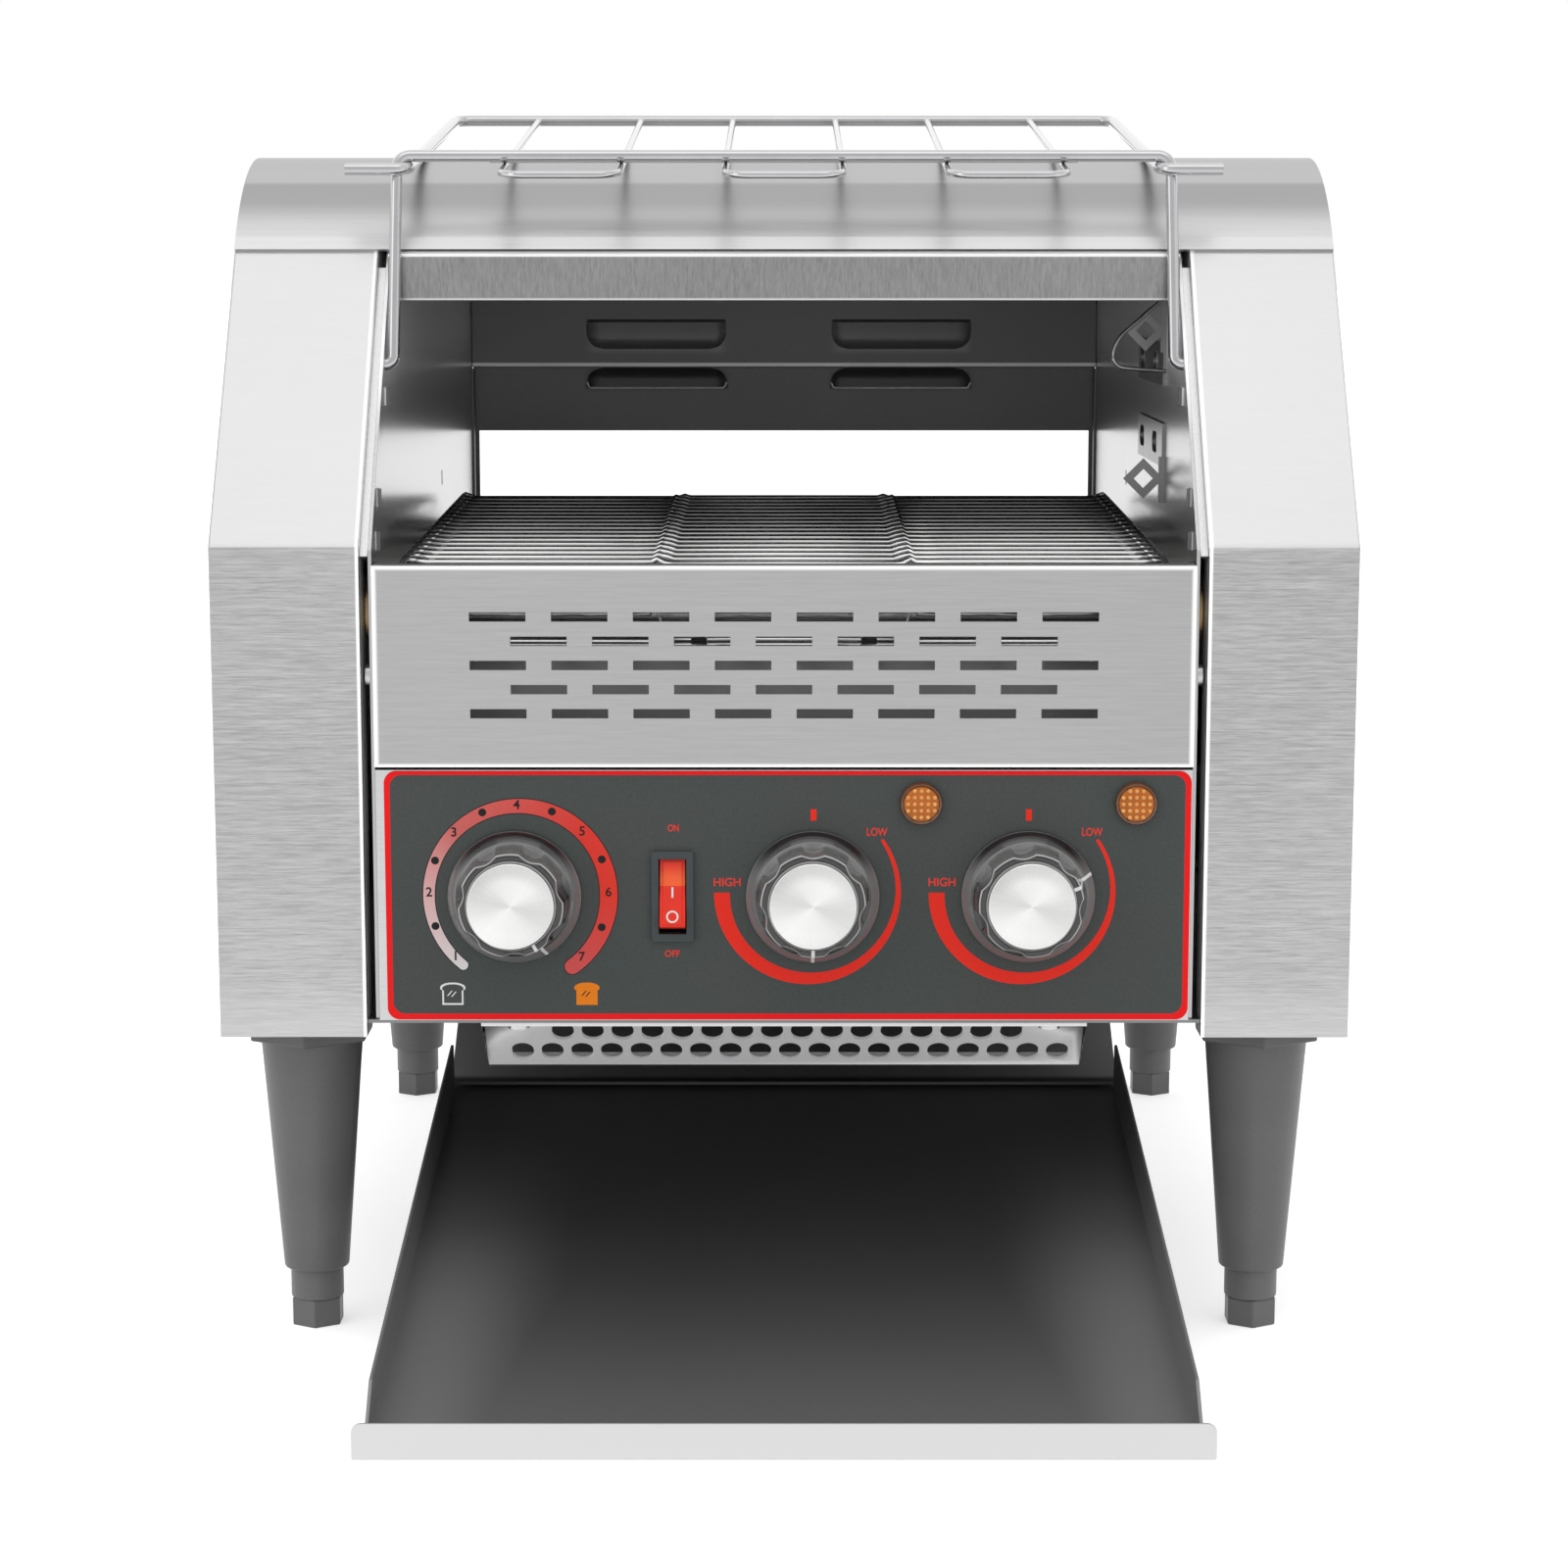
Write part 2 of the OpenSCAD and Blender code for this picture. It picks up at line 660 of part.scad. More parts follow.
module upper_reflector() {
  y0 = heater_ys[0] + upper_heater_back - 14;
  y1 = heater_ys[heater_count - 1] + upper_heater_back + 34;
  z = upper_heater_z + 16;
  skirt = 12;
  color("silver") {
    box_between([-wall_in, y0, z], [wall_in, y1, z + sheet]);
    for (y = [y0, y1 - sheet]) box_between([-wall_in, y, z - skirt], [wall_in, y + sheet, z + sheet]);
  }
}

reflector_z = slotted_z + 2;

// Sheet under the belt that shuts off the electrical bay; its rear leg stands on the base
module lower_reflector() {
  y0 = 16;
  y1 = drop_y - 2;
  foot = 8;
  color("silver") {
    box_between([-wall_in, y0, reflector_z], [wall_in, y1, reflector_z + sheet]);
    box_between([-wall_in, y1 - sheet, base_top], [wall_in, y1, reflector_z + sheet]);
    box_between([-wall_in, y1 - foot, base_top], [wall_in, y1, base_top + sheet]);
  }
}

// ---------- conveyor ----------

belt_loop = 2 * belt_run + 2 * PI * belt_r;
belt_wires = round(belt_loop / belt_pitch);

// Point of the belt's centre line at the distance s, measured from above the drive shaft
function belt_point(s) =
  let (arc = PI * belt_r, low = belt_run + arc, back = 2 * belt_run + arc)
    s < belt_run ? [s, belt_r] :
    s < low ? [belt_run, 0] + belt_r * [sin((s - belt_run) / belt_r * 180 / PI), cos((s - belt_run) / belt_r * 180 / PI)] :
    s < back ? [belt_run - (s - low), -belt_r] :
    belt_r * [-sin((s - back) / belt_r * 180 / PI), -cos((s - back) / belt_r * 180 / PI)];

module belt_frame() translate([0, drive_y, drive_z]) rotate([belt_tilt, 0, 0]) children();

module belt_band(r) {
  circle(r);
  translate([belt_run, 0]) circle(r);
  translate([0, -r]) square([belt_run, 2 * r]);
}

module conveyor_belt() {
  link_w = 3;
  link_t = 1.6;
  color("silver") belt_frame() {
    for (i = [0:belt_wires - 1]) {
      p = belt_point(i * belt_loop / belt_wires);
      rod_x(-belt_w / 2, belt_w / 2, p.x, p.y, belt_wire / 2, $fn = 16);
    }
    for (x = [-belt_w / 2, -belt_w / 6, belt_w / 6, belt_w / 2]) along_x(x - link_w / 2, x + link_w / 2) difference() {
      belt_band(belt_r + link_t / 2);
      belt_band(belt_r - link_t / 2);
    }
  }
}

bush_r = shaft_r + 3;
bush_flange_t = 2.3;

module shaft_bearings() {
  color("peru") for (shaft = [[drive_y, drive_z], [idler_y, idler_z]]) both_sides() difference() {
    union() {
      rod_x(wall_in, wall_out, shaft.x, shaft.y, bush_r);
      rod_x(wall_out, wall_out + bush_flange_t, shaft.x, shaft.y, bush_r + 3);
    }
    rod_x(wall_in - cut, wall_out + bush_flange_t + cut, shaft.x, shaft.y, shaft_r + run_fit);
  }
}

// A shaft from x0 to x1 with a clip outside each bearing
module conveyor_shaft(y, z, x0, x1) {
  clip = wall_out + bush_flange_t + seat_gap;
  color("lightsteelblue") {
    rod_x(x0, x1, y, z, shaft_r);
    both_sides() rod_x(clip, clip + 1.2, y, z, shaft_r + 2);
  }
}

shaft_end = wall_out + bush_flange_t + 5;

module drive_shaft() conveyor_shaft(drive_y, drive_z, -shaft_end, chain_x + 6);
module idler_shaft() conveyor_shaft(idler_y, idler_z, -shaft_end, shaft_end);

// Toothed belt wheels whose tips run just inside the belt's wires
module belt_wheels(y, z) {
  tip = belt_r - belt_wire / 2 - 0.4;
  root = tip - 2.4;
  teeth = 8;
  w = 5;
  color("slategray") for (x = [-belt_w / 2 + 14, -belt_w / 6 + 14, belt_w / 6 - 14, belt_w / 2 - 14])
    difference() {
      translate([x - w / 2, y, z]) rotate([90, 0, 90]) linear_extrude(w) {
        circle(root);
        intersection() {
          circle(tip);
          for (i = [0:teeth / 2 - 1]) rotate(i * 360 / teeth) square([2 * tip, 3.4], center = true);
        }
      }
      rod_x(x - w, x + w, y, z, shaft_r);
    }
}

module belt_wheels_front() belt_wheels(drive_y, drive_z);
module belt_wheels_rear() belt_wheels(idler_y, idler_z);

// ---------- chain drive ----------

function pitch_r(teeth) = chain_pitch / (2 * sin(180 / teeth));

chain_run = norm([drive_y - motor_y, drive_z - motor_z]);
chain_deg = atan2(drive_z - motor_z, drive_y - motor_y);

// The chain's own plane: its origin is the motor's axis, its first axis points at the drive shaft
module chain_frame() translate([chain_x, motor_y, motor_z]) rotate([chain_deg, 0, 0]) rotate([90, 0, 90]) children();

module sprocket_outline(teeth) {
  r = pitch_r(teeth);
  tip = r + 1;
  difference() {
    circle(tip);
    for (i = [0:teeth - 1]) rotate(i * 360 / teeth) {
      translate([r, 0]) circle(roller_r + 0.25);
      polygon([[r, -roller_r - 0.25], [r, roller_r + 0.25], [tip + 1, 2.7], [tip + 1, -2.7]]);
    }
  }
}

module drive_sprocket() {
  hub_w = 5;
  color("dimgray") difference() {
    chain_frame() translate([chain_run, 0, 0]) {
      translate([0, 0, -sprocket_t / 2]) linear_extrude(sprocket_t) sprocket_outline(drive_teeth);
      translate([0, 0, 0]) cylinder(h = hub_w, r = shaft_r + 3);
    }
    rod_x(chain_x - 9, chain_x + 9, drive_y, drive_z, shaft_r);
  }
}

motor_shaft_r = 3;
motor_boss_r = 8;

module motor_sprocket() {
  color("dimgray") {
    chain_frame() translate([0, 0, -sprocket_t / 2]) linear_extrude(sprocket_t) sprocket_outline(motor_teeth);
    rod_x(wall_in - 8, chain_x + 6, motor_y, motor_z, motor_shaft_r);
  }
}

module gear_motor() {
  face = wall_in;
  gearbox = 24;
  color("slategray") difference() {
    union() {
      rod_x(face - gearbox, face, motor_y, motor_z, motor_r);
      rod_x(face - motor_len, face - gearbox, motor_y, motor_z, motor_r - 2);
      rod_x(face - motor_len - 4, face - motor_len, motor_y, motor_z, 5);
      rod_x(face, wall_out + 0.5, motor_y, motor_z, motor_boss_r);
    }
    rod_x(face - 10, wall_out + 1.5, motor_y, motor_z, motor_shaft_r + run_fit);
  }
}

// Centres of the chain's rollers, counted round from the drive sprocket's far side
drive_wrap = floor((drive_teeth + 2) / 4);
motor_wrap = floor((motor_teeth + 2) / 4);
drive_angle = 360 / drive_teeth;
motor_angle = 360 / motor_teeth;
span_start = pitch_r(motor_teeth) * [-cos(motor_wrap * motor_angle), sin(motor_wrap * motor_angle)];
span_end = [chain_run, 0] + pitch_r(drive_teeth) * [cos(drive_wrap * drive_angle), sin(drive_wrap * drive_angle)];
span_links = round(norm(span_end - span_start) / chain_pitch);
chain_points = concat(
  [for (k = [-drive_wrap:drive_wrap]) [chain_run, 0] + pitch_r(drive_teeth) * [cos(k * drive_angle), sin(k * drive_angle)]],
  [for (i = [1:span_links - 1]) span_end + (span_start - span_end) * i / span_links],
  [for (k = [-motor_wrap:motor_wrap]) pitch_r(motor_teeth) * [-cos(k * motor_angle), -sin(k * motor_angle)]],
  [for (i = [1:span_links - 1]) let (p = span_start + (span_end - span_start) * i / span_links) [p.x, -p.y]]
);

// Rollers in the sprockets' seats, joined by inner and outer plates in turn
module drive_chain() {
  plate_t = 0.8;
  gap = sprocket_t / 2 + 0.3;
  last = len(chain_points) - 1;
  color("gray") chain_frame() for (i = [0:last]) {
    p = chain_points[i];
    q = chain_points[i == last ? 0 : i + 1];
    inner = gap + (i % 2) * plate_t;
    half = 2.4 - 0.4 * (i % 2);
    for (z = [inner, -inner - plate_t]) translate([p.x, p.y, z]) rotate(atan2(q.y - p.y, q.x - p.x))
      linear_extrude(plate_t) translate([norm(q - p) / 2, 0]) obround(norm(q - p) + 2 * half, 2 * half);
    translate([p.x, p.y, -gap - 1.5 * plate_t]) cylinder(h = 2 * gap + 3 * plate_t, r = roller_r);
  }
}

// ---------- cooling fan ----------

fan_x = (wall_out + body_w / 2) / 2;
fan_back = body_d - sheet;
fan_bore = fan_w / 2 - 1.5;
fan_hub_r = 8;
fan_pin_r = 1.5;

module fan_frame() {
  plate = 2.5;
  color("black") difference() {
    union() {
      difference() {
        translate([fan_x, 0, fan_z]) along_y(fan_back - fan_d, fan_back) rounded_square(fan_w, fan_w, 4);
        rod_y(fan_back - fan_d - cut, fan_back + cut, fan_x, fan_z, fan_bore);
      }
      along_y(fan_back - plate, fan_back) translate([fan_x, fan_z]) {
        circle(fan_hub_r);
        for (a = [90, 210, 330]) rotate(a) translate([0, -1.5]) square([fan_bore + 1, 3]);
      }
      rod_y(fan_back - fan_d + 2, fan_back, fan_x, fan_z, fan_pin_r);
    }
    for (x = [-1, 1], z = [-1, 1])
      rod_y(fan_back - fan_d - cut, fan_back + cut, fan_x + x * (fan_w / 2 - 3.5), fan_z + z * (fan_w / 2 - 3.5), 1.6);
  }
}

module fan_rotor() {
  blades = 7;
  front = fan_back - fan_d + 1;
  back = fan_back - 2.5 - seat_gap;
  color("dimgray") difference() {
    union() {
      rod_y(front, back, fan_x, fan_z, fan_hub_r - 0.5);
      intersection() {
        rod_y(front + 0.5, back - 0.5, fan_x, fan_z, fan_bore - 0.8);
        for (i = [0:blades - 1]) translate([fan_x, (front + back) / 2, fan_z]) rotate([0, i * 360 / blades, 0])
          rotate([38, 0, 0]) box_between([fan_hub_r - 2, -8, -0.6], [fan_bore, 8, 0.6]);
      }
    }
    rod_y(fan_back - fan_d + 2 - seat_gap, back + cut, fan_x, fan_z, fan_pin_r + run_fit);
  }
}

// ---------- electrical bay ----------

// A control's housing behind the panel, with a threaded neck through it
module rotary_body(x, size, depth) {
  back = control_y + sheet;
  difference() {
    union() {
      translate([x, 0, knob_z]) along_y(back, back + depth) rounded_square(size, size, 3);
      rod_y(control_y - 0.2, back, x, knob_z, spindle_r + 0.9);
    }
    rod_y(control_y - cut, back + depth - 4, x, knob_z, spindle_r + run_fit);
  }
}

module heat_switches() color("darkgreen") for (x = [upper_x, lower_x]) {
  rotary_body(x, 34, 26);
  for (dx = [-10, 0, 10]) box_between([x + dx - 2, control_y + sheet + 26, knob_z - 1], [x + dx + 2, control_y + sheet + 32, knob_z + 1]);
}

module speed_potentiometer() color("darkgoldenrod") rotary_body(speed_x, 24, 14);

module speed_board() {
  z = base_top + 6;
  x0 = -110;
  y0 = 96;
  color("green") {
    box_between([x0, y0, z], [x0 + 70, y0 + 50, z + 1.6]);
    for (dx = [5, 65], dy = [5, 45]) translate([x0 + dx, y0 + dy, base_top]) cylinder(h = 6, r = 3);
    // heat sink, capacitor and terminal strip
    for (i = [0:5]) box_between([x0 + 8 + i * 4, y0 + 8, z + 1.6], [x0 + 9.5 + i * 4, y0 + 34, z + 22]);
    box_between([x0 + 8, y0 + 8, z + 1.6], [x0 + 29.5, y0 + 34, z + 4]);
    translate([x0 + 50, y0 + 20, z + 1.6]) cylinder(h = 22, r = 7);
    box_between([x0 + 36, y0 + 38, z + 1.6], [x0 + 60, y0 + 46, z + 11]);
  }
}

module terminal_block() {
  poles = 5;
  pitch = 12;
  x0 = -20;
  y0 = 200;
  color("ivory") difference() {
    box_between([x0, y0, base_top], [x0 + poles * pitch, y0 + 22, base_top + 16]);
    for (i = [0:poles - 1]) translate([x0 + (i + 0.5) * pitch, y0 + 6, base_top + 10]) cylinder(h = 8, r = 2.6);
    for (i = [0:poles - 1]) translate([x0 + (i + 0.5) * pitch, y0 + 16, base_top + 10]) cylinder(h = 8, r = 2.6);
  }
}

module switch_housing() {
  bezel = 1.6;
  wall = 1.2;
  depth = 20;
  color("black") difference() {
    union() {
      along_y(film_y - bezel, film_y) translate([switch_x, knob_z]) rounded_square(switch_w, switch_h, 0.8);
      along_y(film_y, film_y + depth) translate([switch_x, knob_z]) square([switch_w - 2.2, switch_h - 2.6], center = true);
    }
    along_y(film_y - bezel - cut, film_y + depth - 6) translate([switch_x, knob_z])
      square([switch_w - 2.2 - 2 * wall, switch_h - 2.6 - 2 * wall], center = true);
    rod_x(switch_x - switch_w / 2 + 1.1, switch_x + switch_w / 2 - 1.1, rocker_y, knob_z, 1.25 + run_fit);
  }
}

rocker_y = 5;

module rocker() {
  half_w = switch_w / 2 - 1.1 - 1.2 - seat_gap;
  half_h = switch_h / 2 - 1.3 - 1.2 - 0.8;
  pin = 1.25;
  front = 7.2;
  color("red") translate([switch_x, rocker_y, knob_z]) rotate([-rocker_tilt, 0, 0]) {
    along_x(-half_w, half_w) polygon([[-front, half_h - 0.6], [-front + 1.1, 0], [-front, -half_h + 0.6],
      [-1, -half_h], [2.5, -4], [2.5, 4], [-1, half_h]]);
    rod_x(-switch_w / 2 + 1.4, switch_w / 2 - 1.4, 0, 0, pin);
  }
}

module lamp_housings() color("black") for (x = lamp_x) {
  rod_y(film_y, film_y + 22, x, lamp_z, lamp_r - 1.1);
  rod_y(film_y - 1.2, film_y, x, lamp_z, lamp_r);
}

module lamp_lenses() color("orange") for (x = lamp_x) {
  rod_y(film_y - 2.6, film_y - 1.2, x, lamp_z, lamp_r - 0.6);
  rod_y(film_y - 3.4, film_y - 2.6, x, lamp_z, lamp_r - 1.6);
}

gland_r = 8;
gland_x = (cover_in + body_w / 2) / 2;
gland_z = 140;
cord_r = 4;

// Cable gland in the left cover's rear face; the bore takes the supply cord
module cable_gland() {
  color("black") difference() {
    union() {
      rod_y(body_d - 14, body_d, -gland_x, gland_z, gland_r);
      rod_y(body_d, body_d + 5, -gland_x, gland_z, gland_r + 3);
      rod_y(body_d + 5, back_y, -gland_x, gland_z, gland_r + 0.6);
      rod_y(body_d - sheet - 5, body_d - sheet, -gland_x, gland_z, gland_r + 3);
    }
    rod_y(body_d - 14 - cut, back_y + cut, -gland_x, gland_z, cord_r);
  }
}

// ---------- small pieces on the casing ----------

bracket_y = 101;
bracket_len = 80;
bracket_h = 15;
bracket_t = 1;
tab_r = 7;
upper_bracket_z = upper_heater_z - 32;
lower_bracket_z = drive_z + 49;

// A folded bracket on the right wall: a plate with two long holes, and a square tab that stands
// on its corner in front of it, with a square window. up is 1 with the tab above, -1 with it below
module wall_bracket(z, up) {
  tab_z = z + up * (bracket_h / 2 + 4);
  corner = wall_in - bracket_t - tab_r + 0.8;
  difference() {
    box_between([wall_in - bracket_t, bracket_y, z - bracket_h / 2],
      [wall_in, bracket_y + bracket_len, z + bracket_h / 2]);
    for (y = [24, 66]) along_x(wall_in - bracket_t - cut, wall_in + cut) translate([bracket_y + y, z]) obround(16, 7.4);
  }
  along_y(bracket_y, bracket_y + bracket_t) difference() {
    union() {
      translate([corner, tab_z]) rotate(45) square(tab_r * sqrt(2), center = true);
      translate([wall_in - bracket_t - 1, tab_z - bracket_h / 2 - (up > 0 ? 0 : 1)]) square([1 + bracket_t, bracket_h + 1]);
    }
    translate([corner, tab_z]) rotate(45) square(tab_r * 0.68, center = true);
  }
}

module wall_brackets() color("gray") {
  wall_bracket(upper_bracket_z, 1);
  wall_bracket(lower_bracket_z, -1);
}

screw_r = 2;
slotted_screw_y = 9;
slotted_screw_z = 223;
guard_screw_x = guard_w / 2 - 12;

// Pan-head screws: slotted panel to side walls, and exit guard to base
module pan_screws() color("gray") {
  both_sides() {
    rod_x(panel_half - sheet - 1.5, wall_out, slotted_screw_y, slotted_screw_z, screw_r);
    rod_x(wall_out, wall_out + 1.8, slotted_screw_y, slotted_screw_z, screw_r + 1.8);
    translate([guard_screw_x, 7, base_z - sheet - 1.5]) cylinder(h = 1.5, r = 3.5);
  }
}

stud_r = 4;

// Tapered legs with a hexagonal flange and a stud through the base
module legs() {
  color("dimgray") for (x = [-leg_x, leg_x], y = leg_y) translate([x, y, 0]) difference() {
    union() {
      translate([0, 0, base_z - flange_t]) rotate(30) cylinder(h = flange_t, r = (leg_top_r + 2) / cos(30), $fn = 6);
      translate([0, 0, leg_low_z]) cylinder(h = base_z - flange_t - leg_low_z, r1 = leg_low_r, r2 = leg_top_r);
      translate([0, 0, base_z - 2 * flange_t]) cylinder(h = 12 + 2 * flange_t, r = stud_r);
    }
    translate([0, 0, leg_low_z - cut]) cylinder(h = foot_in + cut + seat_gap, r = collar_r + run_fit * 2);
    translate([0, 0, leg_low_z]) cylinder(h = stem_len + foot_in + seat_gap, r = stem_r + run_fit);
  }
}

stem_len = foot_out + 20;

module leg_nuts() color("gray") for (x = [-leg_x, leg_x], y = leg_y) translate([x, y, base_top]) difference() {
  cylinder(h = 6.5, r = 7.5, $fn = 6);
  translate([0, 0, -cut]) cylinder(h = 8.5, r = stud_r);
}

module foot(x, y) {
  hex_h = 9.5;
  color("dimgray") translate([x, y, 0]) {
    rotate(30) cylinder(h = hex_h, r = foot_flats / 2 / cos(30), $fn = 6);
    translate([0, 0, hex_h]) cylinder(h = leg_low_z - hex_h, r = collar_r);
    translate([0, 0, hex_h / 2]) cylinder(h = leg_low_z - hex_h / 2 + stem_len, r = stem_r);
  }
}

module foot_front_left() foot(-leg_x, leg_y[0]);
module foot_front_right() foot(leg_x, leg_y[0]);
module foot_rear_left() foot(-leg_x, leg_y[1]);
module foot_rear_right() foot(leg_x, leg_y[1]);

// ---------- knobs ----------

knob_back = film_y - 0.8;
spindle_in = 20;

// A fluted black knob with a sloped skirt, turned so that its pointer stands at the angle at
module knob(x, at) {
  flutes = 7;
  flute_r = 14;
  flute_deep = 1.4;
  skirt_rim = 1;
  skirt_h = 5.2;
  skirt_r = knob_r - 3.1;
  grip_r = knob_r - 4.6;
  front = -knob_h + 2;
  color("black") translate([x, 0, knob_z]) rotate([0, at, 0]) difference() {
    union() {
      rod_y(knob_back - skirt_rim, knob_back, 0, 0, knob_r);
      translate([0, knob_back - skirt_rim, 0]) rotate([90, 0, 0])
        cylinder(h = skirt_h - skirt_rim, r1 = knob_r, r2 = skirt_r);
      rod_y(front, knob_back - skirt_h, 0, 0, grip_r);
    }
    for (i = [0:flutes - 1]) rotate([0, (i + 0.5) * 360 / flutes, 0])
      rod_y(front - cut, knob_back - skirt_h, 0, grip_r - flute_deep + flute_r, flute_r);
    rod_y(front - cut, knob_back + cut, 0, 0, spindle_r + 0.05);
    // groove for the pointer line
    box_between([-0.4, front - cut, knob_cap_r], [0.4, front + 0.4, grip_r + cut]);
  }
}

module knob_cap(x, at) {
  front = -knob_h + 2;
  color("silver") translate([x, 0, knob_z]) rotate([0, at, 0]) {
    rod_y(front - 2, front, 0, 0, knob_cap_r);
    rod_y(front, front + 1.5, 0, 0, spindle_r);
  }
}

module spindle(x) {
  color("gray") rod_y(-knob_h + 3.5, control_y + sheet + spindle_in - 12, x, knob_z, spindle_r);
}

speed_at = 151;
upper_at = 180;
lower_at = 69;

module speed_knob() knob(speed_x, speed_at);
module speed_knob_cap() knob_cap(speed_x, speed_at);
module speed_spindle() spindle(speed_x);
module upper_heat_knob() knob(upper_x, upper_at);
module upper_heat_knob_cap() knob_cap(upper_x, upper_at);
module upper_heat_spindle() spindle(upper_x);
module lower_heat_knob() knob(lower_x, lower_at);
module lower_heat_knob_cap() knob_cap(lower_x, lower_at);
module lower_heat_spindle() spindle(lower_x);

// ---------- feed rack ----------

grid_lift = 2 * rack_r - 0.2;   // the bail's bar over the grid's side wires, welded
grid_side = bail_x - 2 * rack_r - 0.1;

// The grid rests just over the roof's curve, which sets the angle of the bail
grid_along = [cos(grid_deg), sin(grid_deg)];
grid_up = [-sin(grid_deg), cos(grid_deg)];
bar_up = roof_r + sheet + rack_r + seat_gap + grid_lift;
pivot_from = [pivot_y, pivot_z] - roof_c;
bar_along = pivot_from * grid_along + sqrt(pow(bail_len, 2) - pow(bar_up - pivot_from * grid_up, 2));
bar = roof_c + bar_up * grid_up + bar_along * grid_along;
bail_deg = atan2(bar.y - pivot_z, bar.x - pivot_y);

// The bail's plane: its second axis runs from the pivot to the bar
module bail_plane() translate([0, pivot_y, pivot_z]) rotate([bail_deg, 0, 0]) children();

// The grid's plane: its origin is under the bail's bar
module grid_plane() translate([0, pivot_y, pivot_z]) rotate([bail_deg, 0, 0]) translate([0, bail_len, 0])
  rotate([grid_deg - bail_deg, 0, 0]) translate([0, 0, -grid_lift]) children();

module rack_bail() {
  end = cover_in - seat_gap;
  hook = wall_in - bail_x - 0.1;
  color("silver") bail_plane() bent_wire([[-end, 0], [-bail_x, 0], [-bail_x, bail_len], [bail_x, bail_len],
    [bail_x, 0], [end, 0]], rack_r, [0, hook, 4.5, 4.5, hook, 0]);
}

module rack_grid() {
  stub_v = -5.9;
  stub_x = cover_in + 10;
  loop_v = -loop_reach;
  rod_r = 1.5;
  color("silver") grid_plane() {
    bent_wire([[-stub_x, stub_v], [-grid_side, stub_v], [-grid_side, grid_len], [grid_side, grid_len],
      [grid_side, stub_v], [stub_x, stub_v]], rack_r, [0, 6, 6, 6, 6, 0]);
    for (i = [-1:1]) translate([i * loop_pitch, 0, 0]) bent_wire([[-loop_w / 2, grid_len],
      [-loop_w / 2, loop_v], [loop_w / 2, loop_v], [loop_w / 2, grid_len]], loop_r, [0, 8, 8, 0]);
    translate([-98.5, 3.2, loop_r + rod_r - 0.15]) rotate([0, 90, 0]) cylinder(h = 197, r = rod_r);
  }
}

// ---------- assembly ----------

module placed() translate([0, -mid_y, 0]) children();

placed() base_pan();
placed() side_wall_left();
placed() side_wall_right();
placed() side_cover_left();
placed() side_cover_right();
placed() roof();
placed() front_header();
placed() rear_panel();
placed() rear_lower_cover();
placed() slotted_panel();
placed() control_panel();
placed() control_film();
placed() exit_guard();
placed() return_chute();
placed() upper_reflector();
placed() lower_reflector();
placed() upper_heaters();
placed() lower_heaters();
placed() heater_insulators();
placed() shaft_bearings();
placed() conveyor_belt();
placed() gear_motor();
placed() drive_chain();
placed() fan_frame();
placed() speed_board();
placed() heat_switches();
placed() speed_potentiometer();
placed() switch_housing();
placed() lamp_housings();
placed() lamp_lenses();
placed() terminal_block();
placed() cable_gland();
placed() wall_brackets();
placed() pan_screws();
placed() leg_nuts();
placed() legs();
placed() drive_shaft();
placed() belt_wheels_front();
placed() drive_sprocket();
placed() idler_shaft();
placed() belt_wheels_rear();
placed() motor_sprocket();
placed() fan_rotor();
placed() speed_knob();
placed() speed_knob_cap();
placed() speed_spindle();
placed() upper_heat_knob();
placed() upper_heat_knob_cap();
placed() upper_heat_spindle();
placed() lower_heat_knob();
placed() lower_heat_knob_cap();
placed() lower_heat_spindle();
placed() rocker();
placed() foot_front_left();
placed() foot_front_right();
placed() foot_rear_left();
placed() foot_rear_right();
placed() rack_bail();
placed() rack_grid();
placed() exit_tray();
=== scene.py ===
import bmesh
import bpy
import json
import math
from mathutils import Matrix, Vector

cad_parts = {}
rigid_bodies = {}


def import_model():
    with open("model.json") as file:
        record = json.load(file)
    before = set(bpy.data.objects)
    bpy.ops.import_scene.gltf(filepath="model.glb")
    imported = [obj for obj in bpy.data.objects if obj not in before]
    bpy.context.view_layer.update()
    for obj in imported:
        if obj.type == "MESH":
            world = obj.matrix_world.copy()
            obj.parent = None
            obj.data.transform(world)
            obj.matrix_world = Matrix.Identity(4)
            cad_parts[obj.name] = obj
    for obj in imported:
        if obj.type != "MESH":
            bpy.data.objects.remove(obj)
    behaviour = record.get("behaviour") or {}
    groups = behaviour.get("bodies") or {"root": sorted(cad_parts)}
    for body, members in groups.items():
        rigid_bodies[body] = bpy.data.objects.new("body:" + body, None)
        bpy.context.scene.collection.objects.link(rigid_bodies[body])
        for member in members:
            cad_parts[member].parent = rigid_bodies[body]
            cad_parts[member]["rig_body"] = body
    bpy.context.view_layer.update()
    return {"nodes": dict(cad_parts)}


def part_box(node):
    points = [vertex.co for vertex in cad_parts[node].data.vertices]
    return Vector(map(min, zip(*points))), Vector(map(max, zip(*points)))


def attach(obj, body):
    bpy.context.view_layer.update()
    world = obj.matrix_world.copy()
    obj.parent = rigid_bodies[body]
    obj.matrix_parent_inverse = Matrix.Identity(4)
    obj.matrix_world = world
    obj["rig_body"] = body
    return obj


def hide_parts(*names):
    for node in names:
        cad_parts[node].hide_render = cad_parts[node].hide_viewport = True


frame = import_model()
scene = bpy.context.scene
scene.view_settings.view_transform = "Standard"

# Camera, floor, room and lamps: a plain white studio with one large soft box above the front and
# a weaker one at each side. The floor and the room show white to the eye and to polished metal.

front_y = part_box("control_film")[0].y


def at(x, y, z):
    """A place in millimetres: right of the middle, behind the film's face, over the table."""
    return Vector((x / 1000, y / 1000 + front_y, z / 1000))


